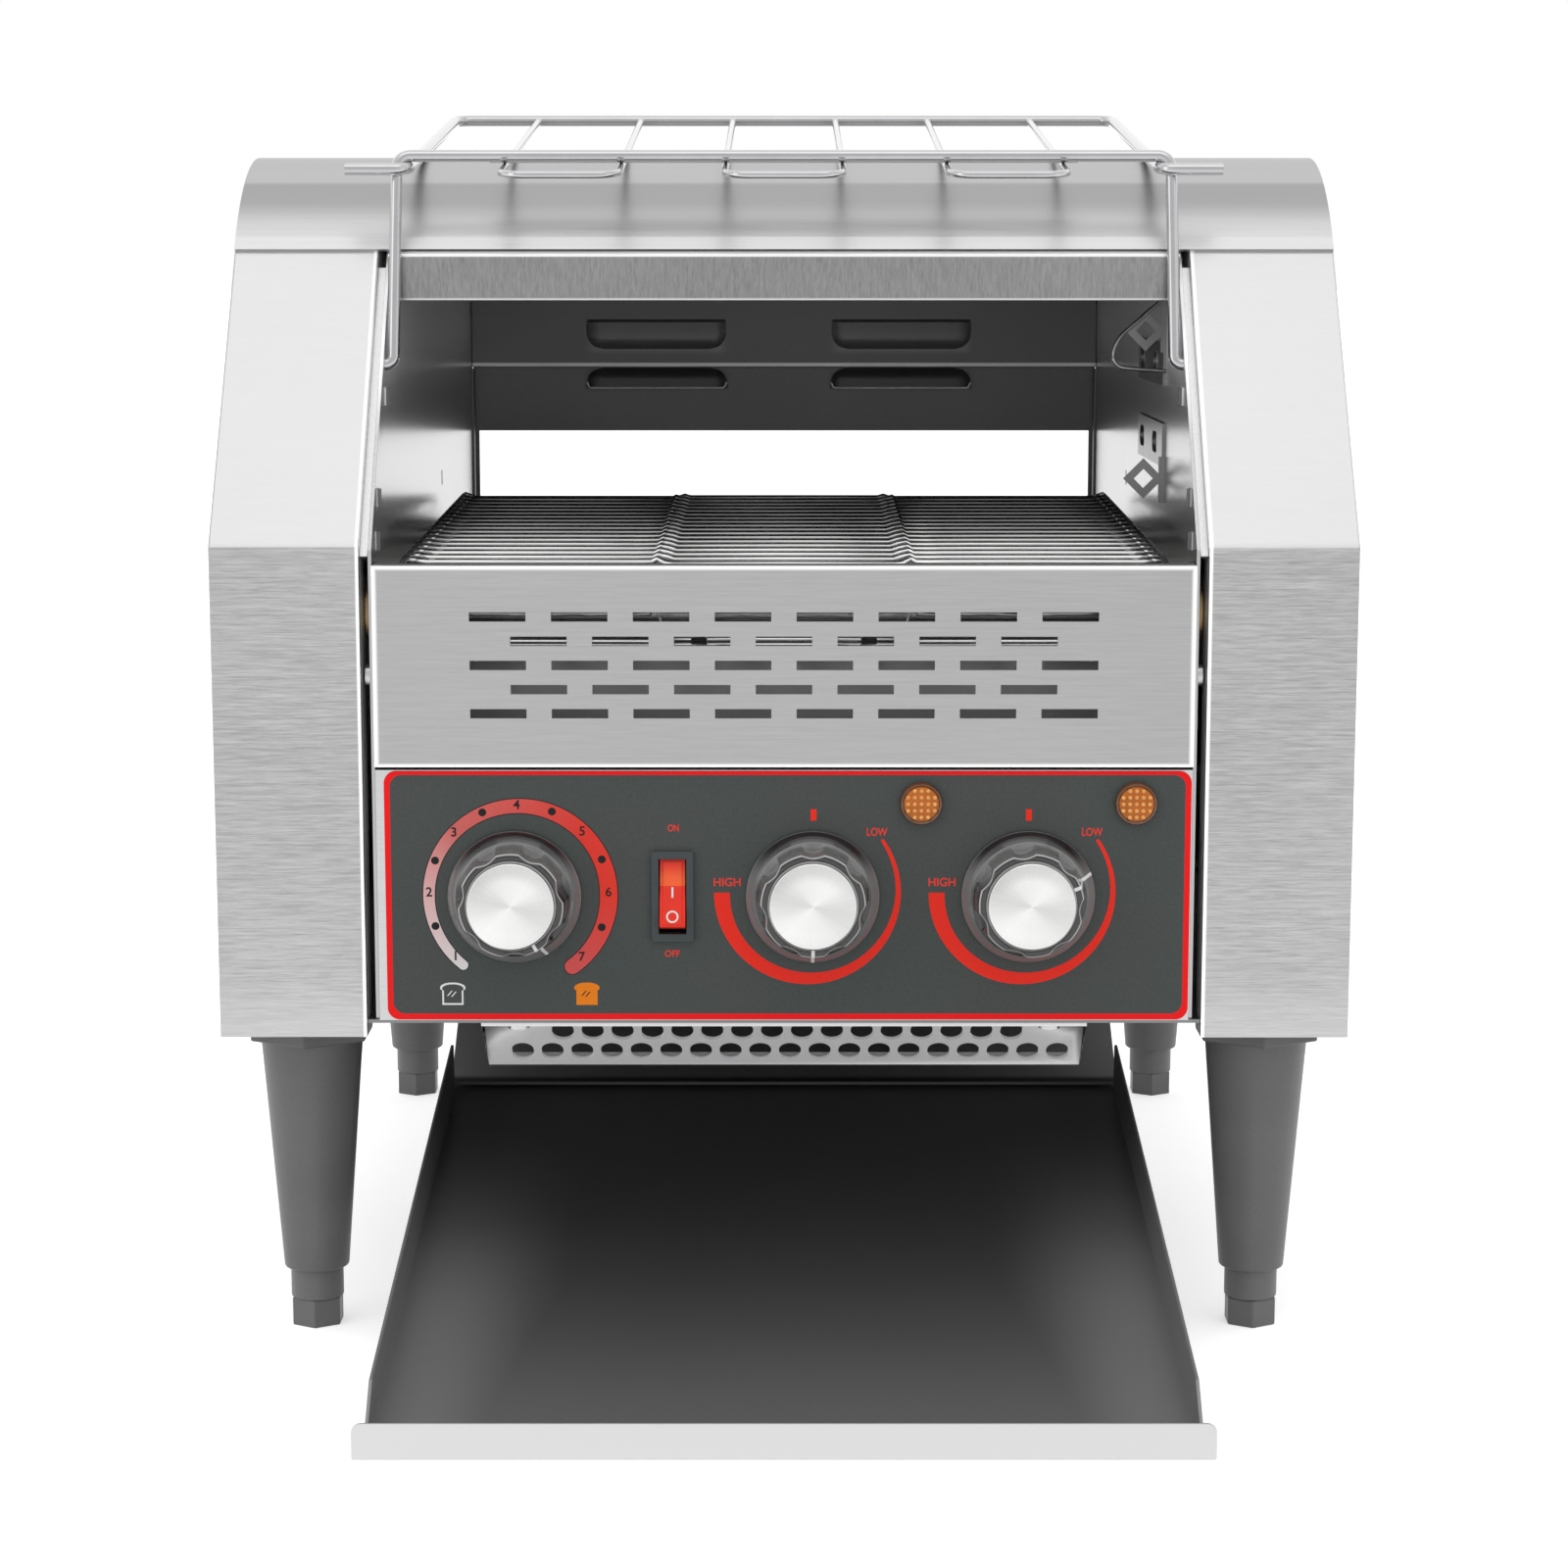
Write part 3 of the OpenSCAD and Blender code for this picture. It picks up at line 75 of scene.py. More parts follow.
def placed(name, data):
    """A new object at the origin that holds its data."""
    made = bpy.data.objects.new(name, data)
    scene.collection.objects.link(made)
    return made


lens_length, eye_back, eye_up, looks_down = 78.28, 1087, 359, 8.9
camera = placed("camera", bpy.data.cameras.new("camera"))
scene.camera = camera
camera.data.sensor_width = 36
camera.data.lens = lens_length
camera.location = at(0, -eye_back, eye_up)
camera.rotation_euler = (math.radians(90 - looks_down), 0, 0)


class Value:
    """A number that varies over a surface; arithmetic on it adds Math nodes."""

    def __init__(self, finish, socket):
        self.finish, self.socket = finish, socket

    def math(self, operation, *numbers):
        return self.finish.node("Math", {"operation": operation}, dict(enumerate(numbers)))

    def __add__(self, other):
        return self.math("ADD", self, other)

    def __sub__(self, other):
        return self.math("SUBTRACT", self, other)

    def __rsub__(self, other):
        return self.math("SUBTRACT", other, self)

    def __mul__(self, other):
        return self.math("MULTIPLY", self, other)

    def __truediv__(self, other):
        return self.math("DIVIDE", self, other)

    def __abs__(self):
        return self.math("ABSOLUTE", self)

    def root(self):
        return self.math("SQRT", self)

    def larger(self, other):
        return self.math("MAXIMUM", self, other)

    __radd__ = __add__
    __rmul__ = __mul__


class Finish:
    """A material with one Principled shader whose inputs are set by name."""

    def __init__(self, name, **inputs):
        self.material = bpy.data.materials.new(name)
        self.material.use_nodes = True
        self.tree = self.material.node_tree
        self.shader = self.tree.nodes["Principled BSDF"]
        self.set(**inputs)

    def feed(self, socket, value):
        if isinstance(value, Value):
            self.tree.links.new(value.socket, socket)
        elif value is not None:
            if socket.type == "RGBA" and len(value) == 3:
                value = (*value, 1)
            socket.default_value = value

    def set(self, **inputs):
        for name, value in inputs.items():
            self.feed(self.shader.inputs[name.replace("_", " ")], value)

    def node(self, kind, settings=None, inputs=None, output=0):
        made = self.tree.nodes.new("ShaderNode" + kind)
        for name, value in (settings or {}).items():
            if name == "stops":
                elements = made.color_ramp.elements
                while len(elements) < len(value):
                    elements.new(0.5)
                for element, (place, colour) in zip(elements, value):
                    element.position = place
                    element.color = (*colour, 1) if len(colour) == 3 else colour
            else:
                setattr(made, name, value)
        for name, value in (inputs or {}).items():
            self.feed(made.inputs[name], value)
        return Value(self, made.outputs[output])

    def parts(self, vector):
        """The three numbers of a vector."""
        made = self.tree.nodes.new("ShaderNodeSeparateXYZ")
        self.feed(made.inputs[0], vector)
        return [Value(self, socket) for socket in made.outputs]

    def spot(self):
        """Where a point lies in millimetres: right of the middle, behind the film, over the table."""
        x, y, z = self.parts(self.node("TexCoord", output="Object"))
        return x * 1000, y * 1000 - front_y * 1000, z * 1000

    def rise(self, value, start, end):
        """0 below the start, 1 past the end, smooth between them."""
        return self.node("MapRange", {"interpolation_type": "SMOOTHSTEP"},
                         {"Value": value, "From Min": start, "From Max": end})

    def noise(self, scale, detail=2.0, roughness=0.5):
        """Noise from 0 to 1 that is stretched as the scale's three numbers say."""
        point = self.node("TexCoord", output="Object")
        stretched = self.node("Mapping", {}, {"Vector": point, "Scale": scale})
        return self.node("TexNoise", {}, {"Vector": stretched, "Scale": 1.0,
                                          "Detail": detail, "Roughness": roughness})

    def blend(self, factor, first, second):
        """A colour between two, by a factor from 0 to 1."""
        made = self.tree.nodes.new("ShaderNodeMix")
        made.data_type = "RGBA"
        for socket, value in ((made.inputs[0], factor), (made.inputs[6], first), (made.inputs[7], second)):
            self.feed(socket, value)
        return Value(self, made.outputs[2])

    def shade(self, factor, colour, darkest, lightest):
        """One colour made darker or lighter: the factor 0 to 1 runs from darkest to lightest."""
        return self.blend(factor, tuple(c * darkest for c in colour), tuple(c * lightest for c in colour))

    def bump(self, height, strength, distance):
        return self.node("Bump", {}, {"Height": height, "Strength": strength, "Distance": distance})


floor_radius, floor_glow, room_light = 30, 0.50, 0.84
seeing_rays = ("Is Camera Ray", "Is Glossy Ray", "Is Transmission Ray")
floor = placed("floor", bpy.data.meshes.new("floor"))
shape = bmesh.new()
bmesh.ops.create_circle(shape, cap_ends=True, segments=96, radius=floor_radius)
shape.to_mesh(floor.data)
white_floor = Finish("white_floor", Base_Color=(0.93, 0.93, 0.93), Roughness=0.9, Emission_Strength=1.0)
eye, mirror, through = (white_floor.node("LightPath", output=ray) for ray in seeing_rays)
seen = eye.larger(mirror).larger(through)
white_floor.set(Emission_Color=white_floor.blend(seen, (0, 0, 0), (floor_glow,) * 3))
floor.data.materials.append(white_floor.material)

room = bpy.data.worlds.new("room")
scene.world = room
room.use_nodes = True
paths = room.node_tree.nodes.new("ShaderNodeLightPath")
background = room.node_tree.nodes["Background"]
shown = paths.outputs[seeing_rays[0]]
for ray in seeing_rays[1:]:
    either = room.node_tree.nodes.new("ShaderNodeMath")
    either.operation = "MAXIMUM"
    room.node_tree.links.new(shown, either.inputs[0])
    room.node_tree.links.new(paths.outputs[ray], either.inputs[1])
    shown = either.outputs[0]
strength = room.node_tree.nodes.new("ShaderNodeMapRange")
room.node_tree.links.new(shown, strength.inputs["Value"])
strength.inputs["To Min"].default_value = room_light
strength.inputs["To Max"].default_value = 1.0
background.inputs["Color"].default_value = (1, 1, 1, 1)
room.node_tree.links.new(strength.outputs[0], background.inputs["Strength"])


def soft_box(name, size, power, where, towards):
    """A lamp behind a white cloth: its size in metres, its power in watts, its place and its aim."""
    lamp = placed(name, bpy.data.lights.new(name, "AREA"))
    lamp.data.shape = "RECTANGLE"
    lamp.data.size, lamp.data.size_y = size
    lamp.data.energy = power
    lamp.location = at(*where)
    lamp.rotation_euler = (at(*towards) - at(*where)).to_track_quat("-Z", "Y").to_euler()


soft_box("top_box", (1.6, 1.0), 4, (0, -500, 1700), (0, 150, 200))
soft_box("left_box", (0.6, 1.2), 2.2, (-1300, -700, 700), (0, 100, 200))
soft_box("right_box", (0.6, 1.2), 0.5, (1300, -700, 700), (0, 100, 200))

# Roof: one 1.2 mm sheet of brushed stainless steel, curved down to the front and closed there by
# a rolled hem. The grain runs across. A painted reflection darkens it in a band below the bend and
# near the top, and a painted highlight runs along the hem.


def smoothed(mesh, sharp):
    """Shades a mesh smooth, apart from edges sharper than an angle in degrees."""
    for face in mesh.polygons:
        face.use_smooth = True
    mesh.set_sharp_from_angle(angle=math.radians(sharp))


def bevelled(piece, width, segments):
    """Breaks a piece's sharp edges over a width in millimetres."""
    bevel = piece.modifiers.new("broken edges", "BEVEL")
    bevel.width = width / 1000
    bevel.segments = segments
    return bevel


def fitted(piece, finish, body):
    """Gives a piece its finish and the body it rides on."""
    piece.data.materials.append(finish.material)
    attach(piece, body)


def dressed(node, finish, width, segments=2, angle=25):
    """The CAD piece's own form with its sharp edges broken, standing for that node."""
    piece = placed(node + "_made", frame["nodes"][node].data.copy())
    piece.data.materials.clear()
    shape = bmesh.new()
    shape.from_mesh(piece.data)
    bmesh.ops.remove_doubles(shape, verts=shape.verts, dist=1e-6)
    bmesh.ops.dissolve_limit(shape, angle_limit=math.radians(0.5), verts=shape.verts, edges=shape.edges)
    shape.to_mesh(piece.data)
    smoothed(piece.data, angle)
    bevel = bevelled(piece, width, segments)
    bevel.limit_method = "ANGLE"
    bevel.angle_limit = math.radians(angle)
    bevel.harden_normals = True
    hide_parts(node)
    fitted(piece, finish, frame["nodes"][node]["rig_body"])


def brushed(name, tone, along="x", grain=0.12, rough=0.32, dash=70):
    """Brushed stainless sheet: short scratches along one axis over longer, softer ones."""
    steel = Finish(name, Metallic=1.0)
    axes = "xyz".index(along)
    fine, long = [2300, 2300, 2300], [1000, 1000, 1000]
    fine[axes], long[axes] = dash, dash / 4
    scratches = steel.noise(fine, detail=3.0, roughness=0.65)
    bands = steel.noise(long, detail=2.0)
    cloud = steel.noise((7, 7, 7), detail=2.0)
    mixed = scratches * 0.55 + bands * 0.25 + cloud * 0.2
    steel.tint = steel.shade(mixed, (tone, tone, tone * 1.004), 1 - grain * 2.6, 1 + grain * 2.6)
    steel.set(Base_Color=steel.tint, Roughness=rough + (scratches - 0.5) * 0.2,
              Normal=steel.bump(scratches, 0.06, 0.0002))
    return steel


def toned(steel, factor, tone):
    """Takes a finish's tint to another grey where the factor is 1."""
    steel.tint = steel.blend(factor, steel.tint, (tone, tone, tone))
    steel.set(Base_Color=steel.tint)


roof_steel = brushed("roof_steel", 0.52, grain=0.07, dash=25, rough=0.36)
x, y, z = roof_steel.spot()
# Painted reflection: a darker band below the bend and a darker band near the top.
below_bend = 1 - roof_steel.rise(z, 380.8, 382.2)
toned(roof_steel, below_bend * roof_steel.rise(z, 368, 376) * 0.75, 0.35)
toned(roof_steel, roof_steel.rise(z, 384, 391) * 0.5, 0.40)
# Painted highlight along the rolled hem.
hem = roof_steel.rise(z, 358.6, 357.6)
toned(roof_steel, hem, 0.74)
dressed("roof", roof_steel, 0.3)

# Side covers: bent sheet with a slanted upper face and a return flange towards the opening. The
# grain runs across. The slanted face is made lighter with painted light, and the folded edge
# beside the opening carries a painted highlight.


def reach(node):
    """A node's lowest and highest corners in the millimetres of at()."""
    return [Vector((corner.x, corner.y - front_y, corner.z)) * 1000 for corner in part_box(node)]


knee, slope_deg = 265, 53.6
cover_out = reach("side_cover_right")[1].x
cover_steel = brushed("cover_steel", 0.385, grain=0.34, dash=110)
x, y, z = cover_steel.spot()
behind_slant = y - (z - knee) / math.tan(math.radians(slope_deg))
# Painted light: the slanted face is made lighter than the upright face.
lit_slant = cover_steel.rise(z, knee - 2, knee + 2) * cover_steel.rise(behind_slant, 3.0, 2.0)
toned(cover_steel, lit_slant * cover_steel.rise(abs(x), cover_out - 0.1, cover_out - 0.7) * 0.88, 0.52)
front_foot = cover_steel.rise(z, 130, 104) * cover_steel.rise(y, 6, 3)
toned(cover_steel, front_foot * 0.45, 0.54)
flange = cover_steel.rise(abs(x), 137.6, 137.3) * cover_steel.rise(y, 2.0, 3.0)
toned(cover_steel, flange, 0.72)
cover_steel.set(Metallic=1 - flange * 0.75)
# Painted highlight along the folded edge beside the opening.
fold_edge_highlight = cover_steel.rise(y, 1.5, 0.5).larger(cover_steel.rise(z, knee - 1, knee + 1))
toned(cover_steel, cover_steel.rise(abs(x), 137.4, 136.8) * fold_edge_highlight, 0.95)
for node in ("side_cover_left", "side_cover_right"):
    dressed(node, cover_steel, 0.6, 3)

# Front header: a strip folded from plain sheet with the grain upright, hung under the roof's
# front edge. Its lower and upper folds carry painted highlights.

header_steel = brushed("header_steel", 0.24, along="z", grain=0.30, dash=320)
x, y, z = header_steel.spot()
low, high = reach("front_header")
# Painted highlights along the lower and the upper fold.
toned(header_steel, header_steel.rise(z, low.z + 1.1, low.z + 0.4), 0.62)
toned(header_steel, header_steel.rise(z, high.z - 1.3, high.z - 0.6), 0.85)
dressed("front_header", header_steel, 0.4)

# Slotted panel: punched stainless sheet with folded sides, held by a screw at each side. Its
# rounded folds carry a painted highlight all round.

panel_steel = brushed("panel_steel", 0.37, grain=0.10, rough=0.36)
x, y, z = panel_steel.spot()
low, high = reach("slotted_panel")
# Painted highlight on the folds round the edges of the front face.
into_fold = (abs(x) - (high.x - 2.0)).larger(z - (high.z - 1.8)).larger(low.z + 1.6 - z)
toned(panel_steel, panel_steel.rise(into_fold, 0.0, 1.2) * panel_steel.rise(y, 6, 2), 0.86)
dressed("slotted_panel", panel_steel, 0.8, 3)

# Base sheet, the sheet behind the film, lower rear cover and return chute: plain satin sheet,
# folded and screwed together from below. The chute pales towards its dark cut edge.

satin_steel = brushed("satin_steel", 0.50, grain=0.08)
for node in ("control_panel", "rear_lower_cover"):
    dressed(node, satin_steel, 0.3)
dull_steel = brushed("dull_steel", 0.22, grain=0.10, rough=0.45)
x, y, z = dull_steel.spot()
toned(dull_steel, dull_steel.rise(z, 100, 60), 0.36)
cut_edge = dull_steel.rise(z, 47, 45.5)
toned(dull_steel, cut_edge, 0.08)
for node in ("base_pan", "return_chute"):
    dressed(node, dull_steel, 0.3)

# Inside of the toasting chamber: side walls with lanced hooks and the upper reflector, of plain
# sheet with upright grain. A painted reflection lightens the upper walls and painted shade darkens
# the hooks. The lower reflector is dulled by crumbs and heat.

sheet_t = 1.2
wall_in = reach("side_wall_right")[1].x - sheet_t
wall_steel = brushed("wall_steel", 0.38, along="z", rough=0.22, grain=0.14)
x, y, z = wall_steel.spot()
# Painted reflection: the upper walls are made lighter and less metallic.
upper_wall_reflection = wall_steel.rise(z, 296, 330)
toned(wall_steel, upper_wall_reflection * 0.9, 1.0)
# Painted shade on the lanced hooks.
hook_shade = wall_steel.rise(abs(x), wall_in - 0.2, wall_in - 0.5)
toned(wall_steel, hook_shade, 0.12)
wall_steel.set(Metallic=1 - upper_wall_reflection * 0.85)
for node in ("side_wall_left", "side_wall_right", "upper_reflector"):
    dressed(node, wall_steel, 0.2)
dressed("lower_reflector", brushed("sooted_steel", 0.12, rough=0.4), 0.2)

# Wall brackets: folded spring sheet on the right wall with a square tab each, and a bent wire
# clip hooked over the upper one.


def flecked(name, colour, size, darkest, lightest, detail=2.0, **inputs):
    """A finish of one colour with flecks, which are finer the larger the size."""
    finish = Finish(name, **inputs)
    fleck = finish.noise((size,) * 3, detail=detail)
    finish.set(Base_Color=finish.shade(fleck, colour, darkest, lightest))
    return finish


bracket_dark = flecked("bracket_dark", (0.20, 0.20, 0.20), 60, 0.7, 1.3, Metallic=0.9, Roughness=0.3)
dressed("wall_brackets", bracket_dark, 0.15)


def curve_object(name, lines, closed=False):
    """A curve of straight pieces through each line's places in millimetres, as they are."""
    data = bpy.data.curves.new(name, "CURVE")
    data.dimensions = "3D"
    for line in lines:
        spline = data.splines.new("POLY")
        spline.points.add(len(line) - 1)
        spline.use_cyclic_u = closed
        for point, place in zip(spline.points, line):
            point.co = (*place, 1)
    return placed(name, data)


def rounded(points, bends, steps=6):
    """Points along a wire that is bent at each inner point, to one radius or to a list of them."""
    if not isinstance(bends, (list, tuple)):
        bends = [bends] * (len(points) - 2)
    line = [points[0]]
    for before, corner, after, bend in zip(points, points[1:], points[2:], bends):
        back, on = (before - corner).normalized(), (after - corner).normalized()
        half = back.angle(on) / 2
        trim = bend / math.tan(half)
        centre = corner + (back + on).normalized() * (bend / math.sin(half))
        first, last = corner + back * trim - centre, corner + on * trim - centre
        sweep = first.angle(last)
        for step in range(steps + 1):
            part = step / steps
            arm = (first * math.sin((1 - part) * sweep) + last * math.sin(part * sweep)) / math.sin(sweep)
            line.append(centre + arm)
    return line + [points[-1]]


def baked(spare):
    """The final mesh of an object, which is then removed."""
    mesh = bpy.data.meshes.new_from_object(spare.evaluated_get(bpy.context.evaluated_depsgraph_get()))
    bpy.data.objects.remove(spare)
    return mesh


def wire_piece(name, lines, radius, sides=4):
    """Round wire of one radius in millimetres along lines of places, as one mesh."""
    path = curve_object(name + "_path", lines)
    path.data.bevel_depth = radius / 1000
    path.data.bevel_resolution = sides
    path.data.use_fill_caps = True
    mesh = baked(path)
    shape = bmesh.new()
    shape.from_mesh(mesh)
    bmesh.ops.remove_doubles(shape, verts=shape.verts, dist=1e-6)
    bmesh.ops.recalc_face_normals(shape, faces=shape.faces)
    shape.to_mesh(mesh)
    mesh.materials.clear()
    smoothed(mesh, 50)
    return placed(name, mesh)


clip_points = ((132.0, 101.0, 343.5), (125.8, 100.0, 338.2), (113.2, 97.2, 327.4), (113.4, 96.8, 319.2),
               (124, 97.5, 318.2), (132.0, 101.0, 317.6))
clip_bends = [0.004, 0.012, 0.0045, 0.004, 0.004]
clip_wire = wire_piece("clip_wire", [rounded([at(*point) for point in clip_points], clip_bends)], 0.7, sides=3)
spring_wire = flecked("spring_wire", (0.30, 0.30, 0.30), 300, 0.6, 1.5, Metallic=1.0, Roughness=0.22)
fitted(clip_wire, spring_wire, "chassis")

# Rear panel: dark coated sheet folded to a step above the window, with two louvres pressed into
# each half. The lower louvres open downwards, and a narrow folded flange runs down each side of
# the window. Painted light lifts the upper louvres and painted shade darkens the lower ones; a
# painted highlight runs along the step's fold, and a painted shadow lies over each upper louvre's
# mouth. A dark return strip beside the window keeps its edges in shade.


def close(shape, first, second):
    """Makes a solid between two like rings of corners."""
    shape.faces.new(first)
    shape.faces.new(list(reversed(second)))
    for i in range(len(first)):
        j = (i + 1) % len(first)
        shape.faces.new((first[j], first[i], second[i], second[j]))


def built(name, shape):
    """A new object with a shape's faces, all turned outward."""
    bmesh.ops.recalc_face_normals(shape, faces=shape.faces)
    mesh = bpy.data.meshes.new(name)
    shape.to_mesh(mesh)
    return placed(name, mesh)


def extruded(name, left, right, outline):
    """A sheet's section, a list of (y, z), from one X to another, in millimetres."""
    shape = bmesh.new()
    close(shape, *([shape.verts.new(at(x, y, z)) for y, z in outline] for x in (left, right)))
    return built(name, shape)


def louvre(name, cx, foot, mouth, face_y, half, proud):
    """A louvre pressed out of a sheet: it rises smoothly from the foot and the ends to its mouth."""
    corner, fairing, lift, sunk, across, up = 7.0, 5.0, 0.02, 0.3, 32, 12
    shape = bmesh.new()
    skin, back = [], []
    for j in range(up + 1):
        rise = abs(mouth - foot) * j / up
        wide = half - (corner - math.sqrt(corner ** 2 - (corner - rise) ** 2) if rise < corner else 0)
        z = foot + (mouth - foot) * j / up
        places = [cx + wide * (2 * i / across - 1) for i in range(across + 1)]
        heights = [proud * math.sin(math.pi / 2 * min(1, min(wide - abs(x - cx), rise) / fairing))
                   for x in places]
        skin.append([shape.verts.new(at(x, face_y - high - lift, z)) for x, high in zip(places, heights)])
        back.append([shape.verts.new(at(x, face_y + sunk, z)) for x in places])
    for rows in (skin, back):
        for lower, upper in zip(rows, rows[1:]):
            for i in range(across):
                shape.faces.new((lower[i], lower[i + 1], upper[i + 1], upper[i]))
    sides = [(skin[end], back[end]) for end in (0, -1)]
    sides += [([row[end] for row in skin], [row[end] for row in back]) for end in (0, -1)]
    for front, behind in sides:
        for i in range(len(front) - 1):
            shape.faces.new((front[i], front[i + 1], behind[i + 1], behind[i]))
    piece = built(name, shape)
    smoothed(piece.data, 45)
    return piece


rear_y, fold_y, fold_z, window_z, window_foot, roof_z = 371.8, 366.8, 310, 283, 238, 389.8
louvre_places = (("left", -54.0), ("right", 49.6))
rear_dark = Finish("rear_dark", Metallic=0.5, Roughness=0.42)
x, y, z = rear_dark.spot()
cloud = rear_dark.noise((12, 12, 12), detail=3.0)
dust = rear_dark.noise((900, 900, 900), detail=3.0)
beside = abs(abs(x + 2.2) - 51.8)
rear_dark.tint = rear_dark.shade(cloud * 0.6 + dust * 0.4, (0.17, 0.17, 0.172), 0.75, 1.3)
# Painted light: the area of the upper louvres, whose faces tilt down, is made lighter.
pressed = rear_dark.rise(beside, 31, 26) * rear_dark.rise(z, 327.5, 319) * rear_dark.rise(z, 315, 317.5)
toned(rear_dark, pressed * 0.6, 0.30)
# Painted shade over the lower louvres.
lower_louvre_shade = rear_dark.rise(beside, 31.5, 28) * rear_dark.rise(z, 299.5, 301.5) * rear_dark.rise(z, 311, 305)
lower_louvre_shade = lower_louvre_shade * rear_dark.rise(y, 367.5, 368.5)
toned(rear_dark, lower_louvre_shade * 0.55, 0.05)
# Painted highlight along the lower edge of the step's fold.
fold_highlight = rear_dark.rise(abs(z - 311.0), 1.1, 0.5) * rear_dark.rise(y, 368, 367)
toned(rear_dark, fold_highlight, 0.85)
# Painted shadow: a dark line on the sheet just above each upper louvre's mouth.
mouth_shadow = rear_dark.rise(beside, 30, 28.5) * rear_dark.rise(abs(z - 329.5), 0.75, 0.45)
toned(rear_dark, mouth_shadow, 0.010)
rear_dark.set(Normal=rear_dark.bump(dust, 0.06, 0.0002))
rear_sheet = extruded("rear_sheet", -wall_in, wall_in, [
    (rear_y, window_z), (rear_y, fold_z), (fold_y, fold_z), (fold_y, roof_z), (rear_y + sheet_t, roof_z),
    (rear_y + sheet_t, roof_z - sheet_t), (fold_y + sheet_t, roof_z - sheet_t),
    (fold_y + sheet_t, fold_z + sheet_t), (rear_y + sheet_t, fold_z + sheet_t), (rear_y + sheet_t, window_z)])
bevelled(rear_sheet, 0.4, 3)
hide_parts("rear_panel")
rear_pieces = [rear_sheet]
for side, cx in louvre_places:
    rear_pieces.append(louvre("upper_louvre_" + side, cx, 317.6, 329.0, fold_y, 29.5, 1.5))
    rear_pieces.append(louvre("lower_louvre_" + side, cx, 309.6, 300.9, rear_y, 30.0, 2.0))


def upright(name, sign, inner, outer, front, back, top):
    """A strip that stands on the window's foot at one side, between two distances inside the wall."""
    left, right = sorted((sign * (wall_in - inner), sign * (wall_in - outer)))
    outline = [(front, window_foot), (front, top), (back, top), (back, window_foot)]
    return extruded(name, left, right, outline)


both_sides = (("left", -1), ("right", 1))
for side, sign in both_sides:
    rear_pieces.append(upright("window_flange_" + side, sign, 2.4, 0.1, rear_y, rear_y + 1.1, window_z + 0.5))
    # Dark return strips in the gaps beside the window, which keep its edges in shade.
    rear_pieces.append(upright("window_return_" + side, sign, 0.9, 0.1, 364, rear_y - 0.1, fold_z - 0.6))
for piece in rear_pieces:
    fitted(piece, rear_dark, "chassis")

# Edge strips: narrow steel strips on the walls' outer faces, behind the covers' slanted faces.
# They close the slit between wall and cover, and are spot-welded to the wall.

along_slope = Vector((0, math.cos(math.radians(slope_deg)), math.sin(math.radians(slope_deg))))
inward = Vector((0, along_slope.z, -along_slope.y))
strip_section = [Vector((0, 0, knee)) + along_slope * run + inward * deep
                 for run, deep in ((-1, 3.4), (112, 3.4), (112, 4.4), (-1, 4.4))]
strip_steel = brushed("strip_steel", 0.50, along="z", rough=0.30)
for side, sign in both_sides:
    left, right = sorted((sign * (wall_in + 1.25), sign * (wall_in + 3.7)))
    strip = extruded("edge_strip_" + side, left, right, [(spot.y, spot.z) for spot in strip_section])
    fitted(strip, strip_steel, "chassis")

# Louvre mouths: the cut lower edge of each lower louvre, drawn near white as a painted highlight.
# It follows the mouth round both corners.

mouth_points = ((-29.6, 303.6), (-28.6, 301.2), (28.6, 301.2), (29.6, 303.6))
mouth_lines = [rounded([at(cx + x, rear_y - 2.1, z) for x, z in mouth_points], 0.0012)
               for side, cx in louvre_places]
# Painted highlight: a near-white rod along each lower louvre's lit edge.
mouth_highlight = flecked("mouth_highlight", (0.96, 0.96, 0.96), 400, 0.95, 1.03, Metallic=0.3, Roughness=0.3)
fitted(wire_piece("mouth_edges", mouth_lines, 0.45, sides=3), mouth_highlight, "chassis")

# Exit guard: perforated stainless sheet under the control panel, with two screws from below.
# Exit tray: dark coated sheet with low side walls, whose front lip is bare and bright. A painted
# reflection lightens it along the sides and towards the front.

guard_steel = brushed("guard_steel", 0.92, grain=0.02, rough=0.42)
guard_steel.set(Metallic=0.1)
dressed("exit_guard", guard_steel, 0.35)
tray_coat = Finish("tray_coat", Roughness=0.40)
x, y, z = tray_coat.spot()
lip_y = reach("exit_tray")[0].y
front_lip = tray_coat.rise(y, lip_y + 1.2, lip_y + 0.5)
cloud = tray_coat.noise((9, 9, 9), detail=3.0)
dust = tray_coat.noise((700, 700, 700), detail=3.0)
tray_coat.tint = tray_coat.shade(cloud * 0.7 + dust * 0.3, (0.080, 0.080, 0.080), 0.8, 1.2)
# Painted reflection: lighter along the sides and towards the front.
side_reflection = tray_coat.rise(abs(x), 68, 118) * tray_coat.rise(y, 155, 20)
toned(tray_coat, side_reflection.larger(tray_coat.rise(y, 30, -110) * 0.50), 0.24)
toned(tray_coat, front_lip, 0.60)
tray_coat.set(Metallic=front_lip * 0.6 + 0.3, Normal=tray_coat.bump(dust, 0.05, 0.0002))
dressed("exit_tray", tray_coat, 0.4)

# Legs and feet: tapered metal legs with a hexagonal flange, and adjustable feet with a round
# collar over a hexagon. Both have a dark grey satin coating and softly rounded edges.

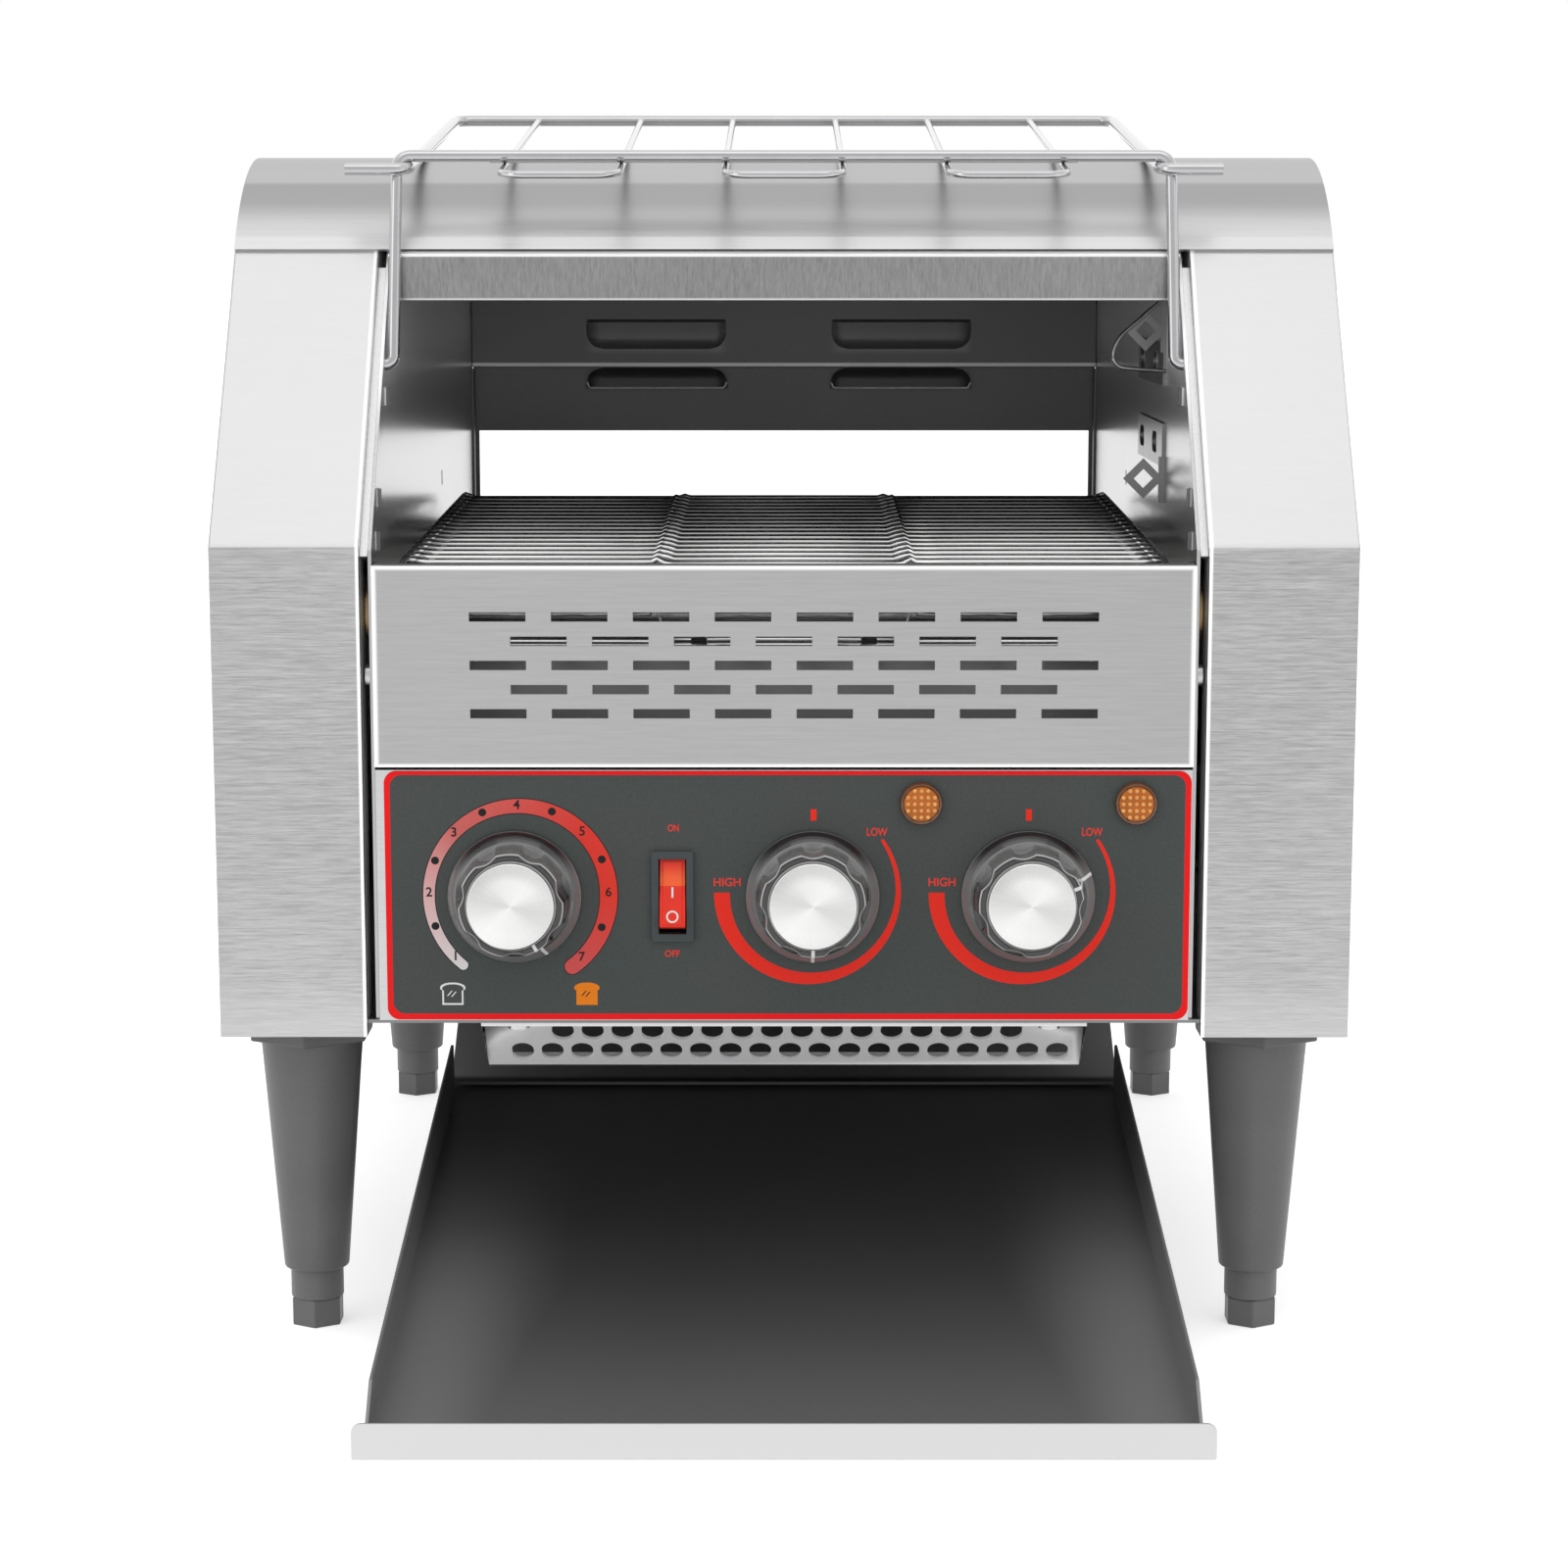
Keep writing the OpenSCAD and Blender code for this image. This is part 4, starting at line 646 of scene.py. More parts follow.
feet = ["foot_" + corner for corner in ("front_left", "front_right", "rear_left", "rear_right")]
for name, tone, nodes in (("leg_coat", 0.115, ["legs"]), ("foot_coat", 0.13, feet)):
    coat = Finish(name, Roughness=0.42)
    pebble = coat.noise((900, 900, 900), detail=3.0)
    flow = coat.noise((14, 14, 50), detail=2.0)
    coat.set(Base_Color=coat.shade(pebble * 0.4 + flow * 0.6, (tone, tone, tone * 1.01), 0.75, 1.25),
             Roughness=0.42 + (pebble - 0.5) * 0.12, Normal=coat.bump(pebble, 0.08, 0.0002))
    for node in nodes:
        dressed(node, coat, 0.7, 3)

# Conveyor belt: stainless wire strands, each with a Z-bend at the two inner lanes and a hook
# round the next strand at its ends, laid at one pitch round both shafts.

front_shaft, rear_shaft = Vector((0, 24, 243)), Vector((0, 240, 249))
belt_turn, turn_steps, strand_count = 14.9, 32, 41
slope = math.atan2(rear_shaft.z - front_shaft.z, rear_shaft.y - front_shaft.y)
run = (rear_shaft - front_shaft).length
loop = []
for shaft, start in ((front_shaft, 90), (rear_shaft, -90)):
    for step in range(turn_steps + 1):
        angle = math.radians(start + 180 * step / turn_steps) + slope
        loop.append(at(0, shaft.y + belt_turn * math.cos(angle), shaft.z + belt_turn * math.sin(angle)))
belt_path = curve_object("belt_path", [list(reversed(loop))], closed=True)
belt_length = (2 * run + 2 * math.pi * belt_turn) / 1000
strand_pitch = belt_length / strand_count
half_strand = [Vector(place) / 1000 for place in (
    (0, 0, 0), (36.5, 0, 0), (38.5, -2.6, 0.9), (41.5, 7.4, 0.9), (43.5, 4.6, 0), (117, 4.6, 0),
    (122.5, 5.6, 0.3), (124.4, 9.5, 0.8), (124.0, 15.0, 1.2), (120.8, 18.6, 0.6), (117.6, 17.0, -1.4),
    (116.6, 13.5, -1.6))]
other_half = [Vector((-p.x, p.y, p.z)) for p in reversed(half_strand[1:])]
strand = curve_object("strand", [other_half + half_strand])


class Tree:
    """A Geometry Nodes tree with named inputs, put on a carrier object and baked to a mesh."""

    def __init__(self, name, **inputs):
        self.group = bpy.data.node_groups.new(name, "GeometryNodeTree")
        self.group.interface.new_socket("Geometry", in_out="OUTPUT", socket_type="NodeSocketGeometry")
        self.values = {}
        for title, (kind, value) in inputs.items():
            title = title.replace("_", " ")
            made = self.group.interface.new_socket(title, in_out="INPUT", socket_type="NodeSocket" + kind)
            self.values[title] = (made.identifier, value)
        self.given = self.group.nodes.new("NodeGroupInput")
        self.result = self.group.nodes.new("NodeGroupOutput")

    def get(self, title):
        return self.given.outputs[title]

    def node(self, kind, settings=None, inputs=None, output=0):
        made = self.group.nodes.new(kind)
        for name, value in (settings or {}).items():
            setattr(made, name, value)
        for name, value in (inputs or {}).items():
            if isinstance(value, bpy.types.NodeSocket):
                self.group.links.new(value, made.inputs[name])
            else:
                made.inputs[name].default_value = value
        return made.outputs[output]

    def bake(self, name, geometry, remove=()):
        """Realises, paints and bakes the tree's geometry as one plain mesh."""
        whole = self.node("GeometryNodeRealizeInstances", {}, {"Geometry": geometry})
        painted = self.node("GeometryNodeSetMaterial", {}, {
            "Geometry": whole, "Material": self.get("Material")})
        self.group.links.new(painted, self.result.inputs["Geometry"])
        carrier = placed(name + "_carrier", bpy.data.meshes.new(name))
        modifier = carrier.modifiers.new("tree", "NODES")
        modifier.node_group = self.group
        for identifier, value in self.values.values():
            modifier[identifier] = value
        mesh = baked(carrier)
        for spare in remove:
            bpy.data.objects.remove(spare)
        return placed(name, mesh)


belt_steel = Finish("belt_steel", Metallic=1.0, Roughness=0.22)
wear = belt_steel.noise((30, 200, 200), detail=2.0)
x, y, z = belt_steel.spot()
bare = belt_steel.shade(wear, (0.62, 0.62, 0.615), 0.7, 1.3)
scorched = belt_steel.shade(wear, (0.20, 0.20, 0.198), 0.6, 1.5)
under_heaters = belt_steel.rise(y, 40, 170) * belt_steel.rise(z, 225, 245)
belt_steel.set(Base_Color=belt_steel.blend(under_heaters, bare, scorched))
belt = Tree("belt_of_strands", Strand=("Object", strand), Path=("Object", belt_path),
            Count=("Int", strand_count), Pitch=("Float", strand_pitch), Length=("Float", belt_length),
            Wire_radius=("Float", 0.0011), Material=("Material", belt_steel.material))
step = belt.node("ShaderNodeCombineXYZ", {}, {"Y": belt.get("Pitch")})
starts = belt.node("GeometryNodeMeshLine", {}, {"Count": belt.get("Count"), "Offset": step})
one = belt.node("GeometryNodeObjectInfo", {}, {"Object": belt.get("Strand")}, "Geometry")
laid = belt.node("GeometryNodeInstanceOnPoints", {}, {"Points": starts, "Instance": one})
laid = belt.node("GeometryNodeRealizeInstances", {}, {"Geometry": laid})
flat = belt.group.nodes.new("ShaderNodeSeparateXYZ")
belt.group.links.new(belt.node("GeometryNodeInputPosition"), flat.inputs[0])
along = belt.node("ShaderNodeMath", {"operation": "FLOORED_MODULO"}, {
    0: flat.outputs[1], 1: belt.get("Length")})
path = belt.node("GeometryNodeObjectInfo", {}, {"Object": belt.get("Path")}, "Geometry")
sampled = belt.group.nodes.new("GeometryNodeSampleCurve")
sampled.mode = "LENGTH"
belt.group.links.new(path, sampled.inputs["Curves"])
belt.group.links.new(along, sampled.inputs["Length"])
tangent = sampled.outputs["Tangent"]
outward = belt.node("ShaderNodeVectorMath", {"operation": "CROSS_PRODUCT"}, {0: (1, 0, 0), 1: tangent})
lifted = belt.node("ShaderNodeVectorMath", {"operation": "SCALE"}, {0: outward, "Scale": flat.outputs[2]})
across = belt.node("ShaderNodeCombineXYZ", {}, {"X": flat.outputs[0]})
wrapped = sampled.outputs["Position"]
for shift in (lifted, across):
    wrapped = belt.node("ShaderNodeVectorMath", {"operation": "ADD"}, {0: wrapped, 1: shift})
laid = belt.node("GeometryNodeSetPosition", {}, {"Geometry": laid, "Position": wrapped})
ring = belt.node("GeometryNodeCurvePrimitiveCircle", {}, {"Resolution": 8, "Radius": belt.get("Wire radius")})
wires = belt.node("GeometryNodeCurveToMesh", {}, {"Curve": laid, "Profile Curve": ring, "Fill Caps": True})
wires = belt.node("GeometryNodeSetShadeSmooth", {}, {"Geometry": wires})
wire_belt = belt.bake("wire_belt", wires, remove=(strand, belt_path))
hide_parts("conveyor_belt")
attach(wire_belt, "chassis")

# Feed rack: 4 mm chromed wire bent into a bail and a grid frame, with three hairpins of
# thinner wire and one cut rod welded across.

chrome = Finish("chrome", Metallic=1.0, Roughness=0.12)
haze = chrome.noise((90, 90, 90), detail=3.0)
# Painted reflection: the wire is dark where it faces the eye and light towards its outlines.
outline_reflection = chrome.node("LayerWeight", {}, {"Blend": 0.45}, "Facing")
hazed_facing_shade = chrome.shade(haze, (0.40, 0.40, 0.41), 0.9, 1.1)
chrome.set(Base_Color=chrome.blend(outline_reflection, hazed_facing_shade, (0.88, 0.88, 0.88)))
bail_tilt, grid_tilt = math.radians(73.561), math.radians(7.25)
pivot_y, pivot_z = 50, 321.589
bar_y, bar_z = 70.206, 390.071
under_bar = 3.8
rack_wire, hairpin_wire, rod_wire = 2, 1.25, 1.5


def on_bail(x, v):
    """A place in the bail's plane: right of the middle and up from the pivots."""
    return at(x, pivot_y + v * math.cos(bail_tilt), pivot_z + v * math.sin(bail_tilt))


def on_grid(x, v, h=0):
    """A place on the grid: right of the middle, behind the bail's bar and over the grid's wires."""
    h -= under_bar
    return at(x, bar_y + v * math.cos(grid_tilt) - h * math.sin(grid_tilt),
              bar_z + v * math.sin(grid_tilt) + h * math.cos(grid_tilt))


bail_points = ((-135.7, 0), (-129.3, 0), (-129.3, 71.4), (129.3, 71.4), (129.3, 0), (135.7, 0))
grid_points = ((-146, -5.9), (-125.2, -5.9), (-125.2, 170.4), (125.2, 170.4), (125.2, -5.9), (146, -5.9))
hairpin_points = ((-19.5, 171.5), (-19.5, -23.2), (19.5, -23.2), (19.5, 171.5))
bail_line = rounded([on_bail(*point) for point in bail_points], [0.0028, 0.0045, 0.0045, 0.0028])
bail = wire_piece("bail", [bail_line], rack_wire, sides=6)
grid_line = rounded([on_grid(*point) for point in grid_points], 0.006)
grid = wire_piece("grid_frame", [grid_line], rack_wire, sides=6)
hairpin_lines = [rounded([on_grid(middle + x, v) for x, v in hairpin_points], 0.008) for middle in (-74, 0, 74)]
hairpins = wire_piece("hairpins", hairpin_lines, hairpin_wire)
cut_rod = wire_piece("cut_rod", [[on_grid(x, 3.2, 2.6) for x in (-98.5, 98.5)]], rod_wire, sides=5)
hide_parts("rack_bail")
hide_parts("rack_grid")
for piece in (bail, grid, hairpins, cut_rod):
    fitted(piece, chrome, "rack")

# Control film: matt slate print on clear film with a red border, two heat scales with tapered
# arcs, a numbered speed scale, off marks and two plain pictograms. The marks are raised ink.

film = frame["nodes"]["control_film"]
film_print = Finish("film_print", Roughness=0.5, Specular_IOR_Level=0.15)
low, high = reach("control_film")
x, y, z = film_print.spot()
left, right, bottom, top, corner = low.x + 1.9, high.x - 1.9, low.z + 2.0, high.z - 1.3, 3.8
over_x = (abs(x - (left + right) / 2) - ((right - left) / 2 - corner)).larger(0)
over_z = (abs(z - (bottom + top) / 2) - ((top - bottom) / 2 - corner)).larger(0)
border = film_print.rise((over_x * over_x + over_z * over_z).root(), corner - 0.08, corner + 0.08)
speckle = film_print.noise((900, 900, 900), detail=4.0, roughness=0.7)
cloud = film_print.noise((25, 25, 25), detail=2.0)
warm, cool = (film_print.shade(speckle, colour, 0.75, 1.25) for colour in (
    (0.074, 0.074, 0.070), (0.062, 0.078, 0.077)))
slate = film_print.blend(cloud, warm, cool)
film_print.set(Base_Color=film_print.blend(border, slate, (0.90, 0.010, 0.012)),
               Normal=film_print.bump(speckle, 0.12, 0.00015))
film.data.materials.clear()
film.data.materials.append(film_print.material)


def inked(name, colour):
    """Printing ink of one colour, a little uneven."""
    return flecked(name, colour, 900, 0.93, 1.07, detail=3.0, Roughness=0.45, Specular_IOR_Level=0.15)


def ink(name, outlines, finish, depth=0.06):
    """Raised print: flat faces given as lists of (x, z) in millimetres, one thin solid each."""
    shape = bmesh.new()
    for outline in outlines:
        back, front = ([shape.verts.new(at(x, y, z)) for x, z in outline] for y in (0, -depth))
        close(shape, front, back)
    bmesh.ops.remove_doubles(shape, verts=shape.verts, dist=1e-6)
    fitted(built(name, shape), finish, "chassis")


def between(stops, value):
    """The value of a line through (place, number) stops."""
    for (a, first), (b, second) in zip(stops, stops[1:]):
        if value <= b:
            return first + (second - first) * (value - a) / (b - a)
    return stops[-1][1]


def band(cx, cz, outer, widths, start, end, extra=0.0, round_end=True):
    """The outline of an arc, clockwise from the top in degrees, whose width follows its stops."""
    def spot(radius, degrees):
        angle = math.radians(degrees)
        return cx + radius * math.sin(angle), cz + radius * math.cos(angle)

    def tip(degrees, onwards):
        width = between(widths, degrees)
        middle, half = spot(outer - width / 2, degrees), width / 2 + extra
        angle = math.radians(degrees)
        out, on = (math.sin(angle), math.cos(angle)), (math.cos(angle) * onwards, -math.sin(angle) * onwards)
        return [tuple(middle[i] + half * (out[i] * math.cos(a) + on[i] * math.sin(a)) for i in (0, 1))
                for a in (math.pi * k / 12 for k in range(1, 12))]

    count = 96
    angles = [start + (end - start) * k / count for k in range(count + 1)]
    outside = [spot(outer + extra, a) for a in angles]
    inside = [spot(outer - between(widths, a) - extra, a) for a in reversed(angles)]
    return [outside + (tip(end, 1) if round_end else []) + inside + list(reversed(tip(start, -1)))]


def dot(x, z, radius, sides=20):
    """The outline of a round dot."""
    angles = [2 * math.pi * k / sides for k in range(sides)]
    return [(x + radius * math.sin(angle), z + radius * math.cos(angle)) for angle in angles]


speed_scale = (-85.5, 152.4, 31.5)
speed_widths = ((-141, 3.2), (-90, 3.7), (0, 4.6), (90, 5.7), (145, 5.0))
heat_scale_z, heat_scale_r, heat_widths = 153.1, 30.3, ((55, 1.1), (90, 1.7), (180, 3.9), (270, 5.2))
scale_ink = Finish("scale_ink", Roughness=0.45, Specular_IOR_Level=0.15)
x, y, z = scale_ink.spot()
turn = scale_ink.node("Math", {"operation": "ARCTAN2"}, {0: x - speed_scale[0], 1: z - speed_scale[1]})
warming = [(0.108, (0.76, 0.73, 0.73)), (0.25, (0.77, 0.46, 0.45)), (0.375, (0.62, 0.14, 0.13)),
           (0.5, (0.68, 0.091, 0.08)), (0.625, (0.75, 0.045, 0.032)), (0.75, (0.82, 0.045, 0.026)),
           (0.89, (0.68, 0.091, 0.091))]
scale_ink.set(Base_Color=scale_ink.node("ValToRGB", {"stops": warming}, {0: turn / (2 * math.pi) + 0.5}))
black_ink, red_ink = inked("black_ink", (0.014, 0.014, 0.014)), inked("red_ink", (0.88, 0.030, 0.016))
ink("speed_rim", band(*speed_scale, speed_widths, -141, 145, extra=0.28), black_ink, 0.04)
ink("speed_scale", band(*speed_scale, speed_widths, -141, 145), scale_ink, 0.07)
off_corners = ((1.0, 180.5), (1.0, 176.8), (2.9, 176.8), (2.9, 180.5))
for name, cx in (("upper_heat", 7.6), ("lower_heat", 77.2)):
    ink(name + "_scale", band(cx, heat_scale_z, heat_scale_r, heat_widths, 55, 270, round_end=False), red_ink)
    ink(name + "_off", [[(cx + x, z) for x, z in off_corners]], red_ink)
ink("speed_dots", [dot(x, z, 1.3) for x, z in (
    (-113.2, 142.1), (-113.0, 163.7), (-97.5, 179.5), (-75.0, 179.8), (-59.0, 164.1), (-59.2, 141.7))],
    black_ink, 0.09)


def slice_outline(cx, cz, size):
    """A plain slice of bread: straight sides under a wider, domed top."""
    half = [(3.45, -3.7), (3.45, 1.2), (4.05, 1.5), (4.15, 2.2), (3.7, 2.9), (2.5, 3.45), (1.2, 3.7), (0, 3.75)]
    full = half + [(-x, z) for x, z in reversed(half[:-1])]
    return [(cx + x * size, cz + z * size) for x, z in full]


white_ink, orange_ink = inked("white_ink", (0.80, 0.80, 0.80)), inked("orange_ink", (0.86, 0.23, 0.012))
pale_x, brown_x, slice_z = -107.9, -64.2, 119.6
around, within = (slice_outline(pale_x, slice_z, size) for size in (1.0, 0.84))
corners = [(i, (i + 1) % len(around)) for i in range(len(around))]
ink("pale_slice", [[around[i], around[j], within[j], within[i]] for i, j in corners], white_ink)
ink("brown_slice", [slice_outline(brown_x, slice_z, 1.0)], orange_ink)
stroke = ((0, 0), (0.45, 0), (1.85, 1.7), (1.4, 1.7))
for name, cx, finish in (("pale_strokes", pale_x, white_ink), ("brown_strokes", brown_x, black_ink)):
    ink(name, [[(cx + a + x, slice_z + b + z) for x, z in stroke] for a, b in ((-1.9, -0.7), (-0.6, -1.0))],
        finish, 0.09)


def lettering(name, words, finish):
    """Printed words or numbers: (text, x, z, height, width or None) each, in millimetres."""
    upright_turn = Matrix.Rotation(math.radians(90), 4, "X")
    shape = bmesh.new()
    for text, x, z, height, width in words:
        data = bpy.data.curves.new(name, "FONT")
        data.body = text
        data.size = 1
        data.extrude = 0.01
        data.offset = 0.018
        mesh = baked(placed(name, data))
        spots = [vertex.co for vertex in mesh.vertices]
        low = Vector([min(spot[i] for spot in spots) for i in range(3)])
        high = Vector([max(spot[i] for spot in spots) for i in range(3)])
        tall = height / 1000 / (high.y - low.y)
        wide = width / 1000 / (high.x - low.x) if width else tall
        stretch = Matrix.Diagonal((wide, tall, 0.0045, 1))
        to_middle = Matrix.Translation(-(low + high) / 2)
        mesh.transform(Matrix.Translation(at(x, -0.055, z)) @ upright_turn @ stretch @ to_middle)
        shape.from_mesh(mesh)
        bpy.data.meshes.remove(mesh)
    bmesh.ops.remove_doubles(shape, verts=shape.verts, dist=1e-7)
    whole = bpy.data.meshes.new(name)
    shape.to_mesh(whole)
    fitted(placed(name, whole), finish, "chassis")


number_places = ((-106.8, 132.3), (-115.1, 153.4), (-106.8, 173.1), (-86.4, 182.1), (-65.3, 173.4),
                 (-56.9, 153.4), (-65.7, 132.0))
lettering("speed_numbers", [(str(i + 1), x, z, 3.1, None) for i, (x, z) in enumerate(number_places)], black_ink)
word_ink = inked("word_ink", (0.84, 0.055, 0.038))
lettering("switch_words", [("ON", -35.8, 174.4, 2.3, 3.6), ("OFF", -36.3, 133.0, 2.2, 4.9)], word_ink)
heat_words = []
for high_x, low_x in ((-18.4, 30.1), (51.2, 99.7)):
    heat_words += [("HIGH", high_x, 156.6, 2.8, 8.8), ("LOW", low_x, 173.1, 2.7, 6.7)]
lettering("heat_words", heat_words, word_ink)

# Rocker switch: a slate nylon housing snapped into the film, with a glossy red paddle that has
# a raised middle and white marks, I for on and O for off. A painted highlight lies on its upper part.

bezel_nylon = inked("bezel_nylon", (0.062, 0.075, 0.078))
dressed("switch_housing", bezel_nylon, 0.35, 3)
switch_x, rocker_y, knob_z, rocker_tilt = -36.14, 5, 152.0, math.radians(11)


def on_paddle(x, y, z):
    """A place on the tilted paddle, from the pin it rocks on."""
    return at(switch_x + x, rocker_y + y * math.cos(rocker_tilt) + z * math.sin(rocker_tilt),
              knob_z - y * math.sin(rocker_tilt) + z * math.cos(rocker_tilt))


def paddle_part(shape, half, outline):
    """One part of the paddle: an outline of (y, z) in millimetres over a width."""
    close(shape, *([shape.verts.new(on_paddle(side, y, z)) for y, z in outline] for side in (-half, half)))


shape = bmesh.new()
paddle_part(shape, 4.2, [(-6.9, 10.95), (-5.9, 3.6), (-6.9, -10.95), (-6.4, -11.25), (-4, -11.55), (-1, -11.55),
                         (2.5, -4), (2.5, 4), (-1, 11.55)])
paddle_part(shape, 3.2, [(-7.2, 10.3), (-6.15, 3.6), (-7.2, -10.4), (-4.5, -10.4), (-4.5, 10.3)])
paddle = built("paddle", shape)
bevelled(paddle, 0.28, 3)
red_nylon = Finish("red_nylon", Roughness=0.35, Coat_Weight=0.15, Coat_Roughness=0.08, Specular_IOR_Level=0.25)
x, y, z = red_nylon.spot()
milky = red_nylon.noise((200, 200, 200), detail=2.0)
# Painted highlight: a bright orange band on the paddle's upper part.
upper_highlight = red_nylon.rise(z, 155.3, 155.6) * red_nylon.rise(z, 163.5, 157)
dull_red = red_nylon.shade(milky, (0.84, 0.030, 0.012), 0.9, 1.1)
red_nylon.set(Base_Color=red_nylon.blend(upper_highlight, dull_red, (1.0, 0.13, 0.03)))
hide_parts("rocker")
fitted(paddle, red_nylon, "rocker")
ridge_y, ridge_z, face_slope, mark_lift, ring_sides = -6.15, 3.6, 1.05 / 14.0, 0.06, 32


def on_lower_face(x, z):
    """A place just off the paddle's lower face."""
    return on_paddle(x, ridge_y - (ridge_z - z) * face_slope - mark_lift, z)


shape = bmesh.new()
shape.faces.new([shape.verts.new(on_lower_face(x, z)) for x, z in (
    (-0.3, 1.9), (0.3, 1.9), (0.3, -1.5), (-0.3, -1.5))])
outer, inner = ([shape.verts.new(on_lower_face(x, z)) for x, z in dot(0, -7.7, radius, ring_sides)]
                for radius in (2.0, 1.45))
for i in range(ring_sides):
    j = (i + 1) % ring_sides
    shape.faces.new((outer[i], outer[j], inner[j], inner[i]))
bmesh.ops.recalc_face_normals(shape, faces=shape.faces)
bmesh.ops.solidify(shape, geom=shape.faces[:], thickness=-0.00008)
fitted(built("paddle_marks", shape), white_ink, "rocker")

# Knobs: glossy black phenolic mouldings with a sloped skirt and a scalloped grip, a spun aluminium
# cap pressed into the front and a white line from the cap to the skirt's edge.


def from_centre(finish, cx, cz):
    """How far a point lies from a line along Y, in millimetres."""
    x, y, z = finish.spot()
    return ((x - cx) * (x - cx) + (z - cz) * (z - cz)).root()


def phenolic(name, cx, cz):
    """Glossy black phenolic, with painted reflections and highlights on its skirt, grip and rims."""
    finish = Finish(name, Roughness=0.13, Coat_Weight=0.5, Coat_Roughness=0.05)
    x, y, z = finish.spot()
    mottle = finish.noise((260, 260, 260), detail=3.0)
    radius = from_centre(finish, cx, cz)
    skirt = finish.rise(y, -6.0, -5.8)
    # Painted reflection: the skirt is paler at its sides and foot than at its top.
    skirt_reflection = skirt * finish.rise(z - cz, 17, 5) * 0.17
    # Painted reflection on the grip's upper side, mottled.
    grip_top_reflection = (1 - skirt) * finish.rise(y, -17.15, -17.05) * finish.rise(z - cz, 2, 10)
    grip_top_reflection = grip_top_reflection * (0.10 + mottle * 0.14)
    # Painted highlights: a light ring at the grip's front edge and at the skirt's rim.
    edge = finish.rise(y, -17.08, -17.16) * finish.rise(y, -17.49, -17.44) * 0.40
    tone = 0.010 + skirt_reflection + grip_top_reflection + edge + finish.rise(radius, 21.35, 21.5) * 0.12
    finish.set(Base_Color=finish.blend(tone, (0, 0, 0), (1.0, 1.0, 0.99)),
               Normal=finish.bump(mottle, 0.02, 0.0002))
    return finish


def turned_piece(name, cx, cz, rings, steps, flutes=0, start=0.0):
    """A body turned about a line along Y: rings of (y, radius, depth of the flutes) in millimetres."""
    shape = bmesh.new()
    loops = []
    for y, radius, deep in rings:
        loop = []
        for k in range(steps):
            angle = 2 * math.pi * k / steps
            wave = max(0, math.cos(flutes * (angle - start))) if flutes else 0
            r = radius - deep * wave
            loop.append(shape.verts.new(at(cx + r * math.sin(angle), y, cz + r * math.cos(angle))))
        loops.append(loop)
    for a, b in zip(loops, loops[1:]):
        for k in range(steps):
            shape.faces.new((a[k], a[(k + 1) % steps], b[(k + 1) % steps], b[k]))
    shape.faces.new(loops[0])
    shape.faces.new(list(reversed(loops[-1])))
    piece = built(name, shape)
    smoothed(piece.data, 40)
    return piece


def spun(name, cx, cz):
    """Aluminium turned on a lathe, with a painted highlight that fans out from the centre."""
    metal = Finish(name, Metallic=1.0, Roughness=0.28)
    x, y, z = metal.spot()
    angle = metal.node("Math", {"operation": "ARCTAN2"}, {0: x - cx, 1: z - cz})
    rings, rays = (metal.node("TexNoise", {}, {
        "Vector": metal.node("CombineXYZ", {}, {"X": across}), "Scale": 1.0, "Detail": detail})
        for across, detail in ((from_centre(metal, cx, cz) * 2.6, 2.0), (angle * 14, 3.0)))
    # Painted highlights: a broad and a narrow lobe that go round the cap.
    broad, narrow = (metal.node("Math", {"operation": "COSINE"}, {0: wave}) for wave in (
        (angle - 0.35) * 2, (angle + 0.6) * 4))
    turned = broad * 0.30 + narrow * 0.10 + 0.5 + (rings - 0.5) * 0.3 + (rays - 0.5) * 0.5
    metal.set(Base_Color=metal.shade(turned, (0.64, 0.645, 0.635), 0.80, 1.16),
              Normal=metal.bump(rings, 0.08, 0.0001))
    return metal


flute_count = 7
grip_rings = [
    (-0.8, 21.0, 0), (-0.9, 21.4, 0), (-1.15, 21.6, 0), (-1.7, 21.6, 0), (-2.0, 21.4, 0), (-5.8, 18.9, 0),
    (-6.1, 18.5, 0), (-6.2, 18.1, 0.3), (-6.5, 18.0, 1.2), (-11.5, 17.5, 1.3), (-16.8, 16.95, 1.3),
    (-17.1, 16.9, 1.3), (-17.5, 16.4, 1.2), (-17.5, 14.6, 0), (-17.3, 14.3, 0), (-17.3, 14.0, 0)]
cap_rings = [
    (-16.5, 14.1, 0), (-18.9, 14.1, 0), (-19.3, 13.95, 0), (-19.5, 13.6, 0), (-19.5, 8.0, 0), (-19.5, 2.0, 0)]
line_profile = [
    (-17.58, 14.5), (-17.58, 16.4), (-17.1, 17.0), (-11.5, 17.6), (-6.5, 18.15), (-6.1, 18.6), (-5.85, 19.0),
    (-2.0, 21.5), (-1.7, 21.68), (-1.7, 21.3), (-5.8, 18.6), (-7.2, 17.5), (-14.8, 17.0), (-16.6, 16.2),
    (-17.2, 15.2), (-17.2, 14.5)]
line_half = 0.55
